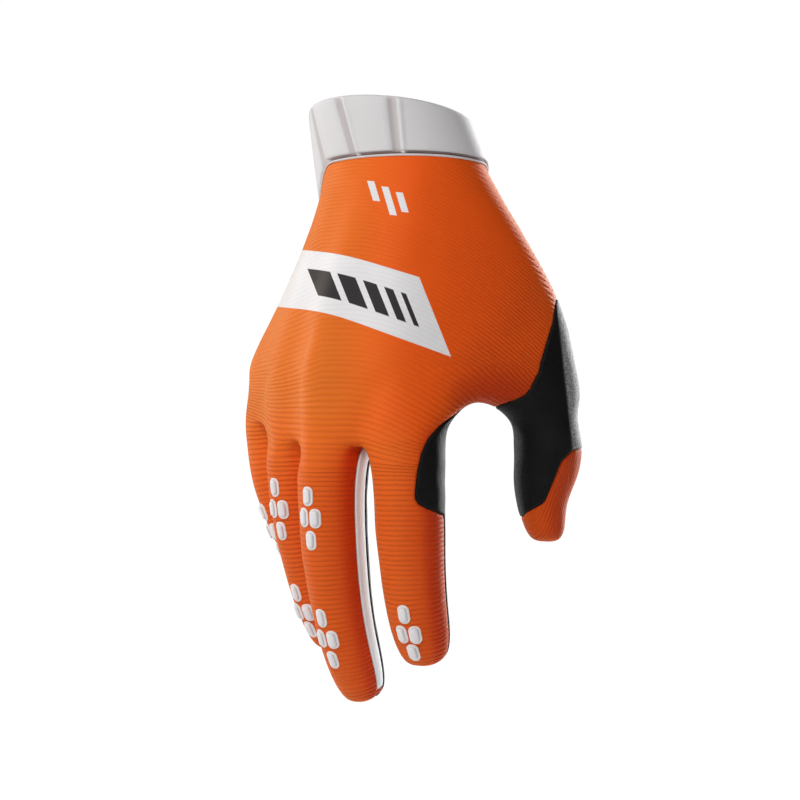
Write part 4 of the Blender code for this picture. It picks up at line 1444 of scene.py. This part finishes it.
def build_glove():
    """All pieces of the glove, each on the solids that it stands for."""
    skin = panelled_skin(SKIN_LEVELS)
    add_edge_rows(skin)
    skin.verts.index_update()
    skin.faces.index_update()
    panel = skin.faces.layers.int["panel"]
    faces = {label: [f for f in skin.faces if f[panel] == label] for label in range(5)}
    line = seam_line(skin)
    surface = BVHTree.FromBMesh(skin)

    knit = rib_knit("orange_rib_knit")
    tip_knit = rib_knit("orange_rib_knit_slanted", True)
    leather = leather_look()
    stretch = stretch_look()
    white = cuff_look()
    rubber = rubber_look()

    panels = (
        ("back_fabric", BACK, FABRIC_WALL, knit, "back_panel"),
        ("palm_leather", PALM, LEATHER_WALL, leather, "palm_panel"),
        ("thumb_leather", WRAP, LEATHER_WALL, leather, "thumb_wrap"),
        ("thumb_tip_fabric", TIP, FABRIC_WALL, tip_knit, "thumb_tip"),
    )
    for name, label, wall, look, solid in panels:
        add_piece(name, panel_piece(skin, faces[label], label, wall), look, [solid])
    strips = sorted(connected(faces[FOURCHETTE]), key=lambda group: group[0].calc_center_median().x)
    for number, strip in enumerate(strips):
        name = RAYS[number].name + "_" + RAYS[number + 1].name
        body = panel_piece(skin, strip, FOURCHETTE, FABRIC_WALL)
        add_piece("fourchette_fabric_" + name, body, stretch, ["fourchette_" + name])
    add_piece("moulded_cuff", fine_cuff(line), white, ["cuff"], CUFF_SHARP)
    add_piece("cuff_cord", fine_piping(line), white, ["cuff_piping"], CUFF_SHARP)

    pattern = pad_pattern()
    for group in PAD_GROUPS:
        for spot in PAD_PLACES:
            name = group.name + "_" + spot.name
            body = drape(pattern, surface, group, spot)
            add_piece("rubber_pad_" + name, body, rubber, ["pad_" + name], PAD_SHARP)
    bpy.data.meshes.remove(pattern)


# The studio: the white world's strength on the glove and behind it, and the floor
AMBIENT = 0.10
BACKDROP = 1.02
FLOOR_SIZE = 12
FLOOR_HEIGHT = -0.26
FLOOR_GLOW = 1.05
FLOOR_GREYS = ((0.86, 0.86, 0.86), (0.90, 0.90, 0.90))

# Its lights, placed as seen from the camera's side. Each aims at a height on the origin's upright line.
StudioLight = namedtuple("StudioLight", "name place aim size power colour", defaults=((1, 1, 1),))
LIGHTS = (
    StudioLight("key_light", (-1.05, -0.22, 0.30), -0.05, (0.45, 0.60), 4.2, (1.0, 0.975, 0.93)),
    StudioLight("front_light", (-0.28, -0.66, 0.56), -0.07, (0.45, 0.45), 5.3),
    StudioLight("thumb_rim_light", (0.68, 0.80, 0.12), -0.10, (0.20, 0.70), 15.0),
    StudioLight("little_rim_light", (-0.80, 0.60, 0.25), -0.10, (0.20, 0.70), 3.5),
)


def add_light(light):
    data = bpy.data.lights.new(light.name, "AREA")
    data.shape = "RECTANGLE"
    data.size, data.size_y = light.size
    data.energy = light.power
    data.color = light.colour
    thing = bpy.data.objects.new(light.name, data)
    thing.location = Matrix.Rotation(math.radians(CAMERA_TURN), 3, "Z") @ Vector(light.place)
    thing.rotation_mode = "QUATERNION"
    way = Vector((0, 0, light.aim)) - thing.location
    thing.rotation_quaternion = way.to_track_quat("-Z", "Y")
    bpy.context.scene.collection.objects.link(thing)


def studio():
    """The camera, the lights, the white world and the floor."""
    scene = bpy.context.scene
    scene.view_settings.view_transform = "Standard"
    data = bpy.data.cameras.new("camera")
    data.lens = CAMERA_LENS
    data.sensor_width = 36
    data.clip_start = 0.01
    camera = bpy.data.objects.new("camera", data)
    camera.location = CAMERA_PLACE
    camera.rotation_euler = (math.radians(90), 0, math.radians(CAMERA_TURN))
    scene.collection.objects.link(camera)
    scene.camera = camera

    for light in LIGHTS:
        add_light(light)

    world = bpy.data.worlds.new("studio")
    scene.world = world
    world.use_nodes = True
    nodes = world.node_tree.nodes
    links = world.node_tree.links
    background = nodes["Background"]
    background.inputs["Color"].default_value = (1, 1, 1, 1)
    rays = nodes.new("ShaderNodeLightPath")
    strength = nodes.new("ShaderNodeMapRange")
    strength.inputs["To Min"].default_value = AMBIENT
    strength.inputs["To Max"].default_value = BACKDROP
    links.new(rays.outputs["Is Camera Ray"], strength.inputs["Value"])
    links.new(strength.outputs["Result"], background.inputs["Strength"])
    studio_floor()


def studio_floor():
    """A wide pale floor, which shows as white as the world behind it."""
    bpy.ops.object.select_all(action="DESELECT")
    bpy.ops.mesh.primitive_plane_add(size=FLOOR_SIZE, location=(0, 0, FLOOR_HEIGHT))
    floor = bpy.context.object
    floor.name = "floor"
    bpy.ops.object.transform_apply(location=True)
    look = Look("pale_floor")
    look.set(Base_Color=look.mix(look.noise(0.05, 2.0), *FLOOR_GREYS), Roughness=0.9)
    glow = look.tree.nodes.new("ShaderNodeEmission")
    glow.inputs["Strength"].default_value = FLOOR_GLOW
    rays = look.node("ShaderNodeLightPath", {}, {}, "Is Camera Ray")
    mixed = look.tree.nodes.new("ShaderNodeMixShader")
    look.tree.links.new(rays.socket, mixed.inputs["Fac"])
    look.tree.links.new(look.shader.outputs["BSDF"], mixed.inputs[1])
    look.tree.links.new(glow.outputs["Emission"], mixed.inputs[2])
    look.tree.links.new(mixed.outputs["Shader"], look.tree.nodes["Material Output"].inputs["Surface"])
    floor.data.materials.append(look.material)
    return floor


build_glove()
studio()
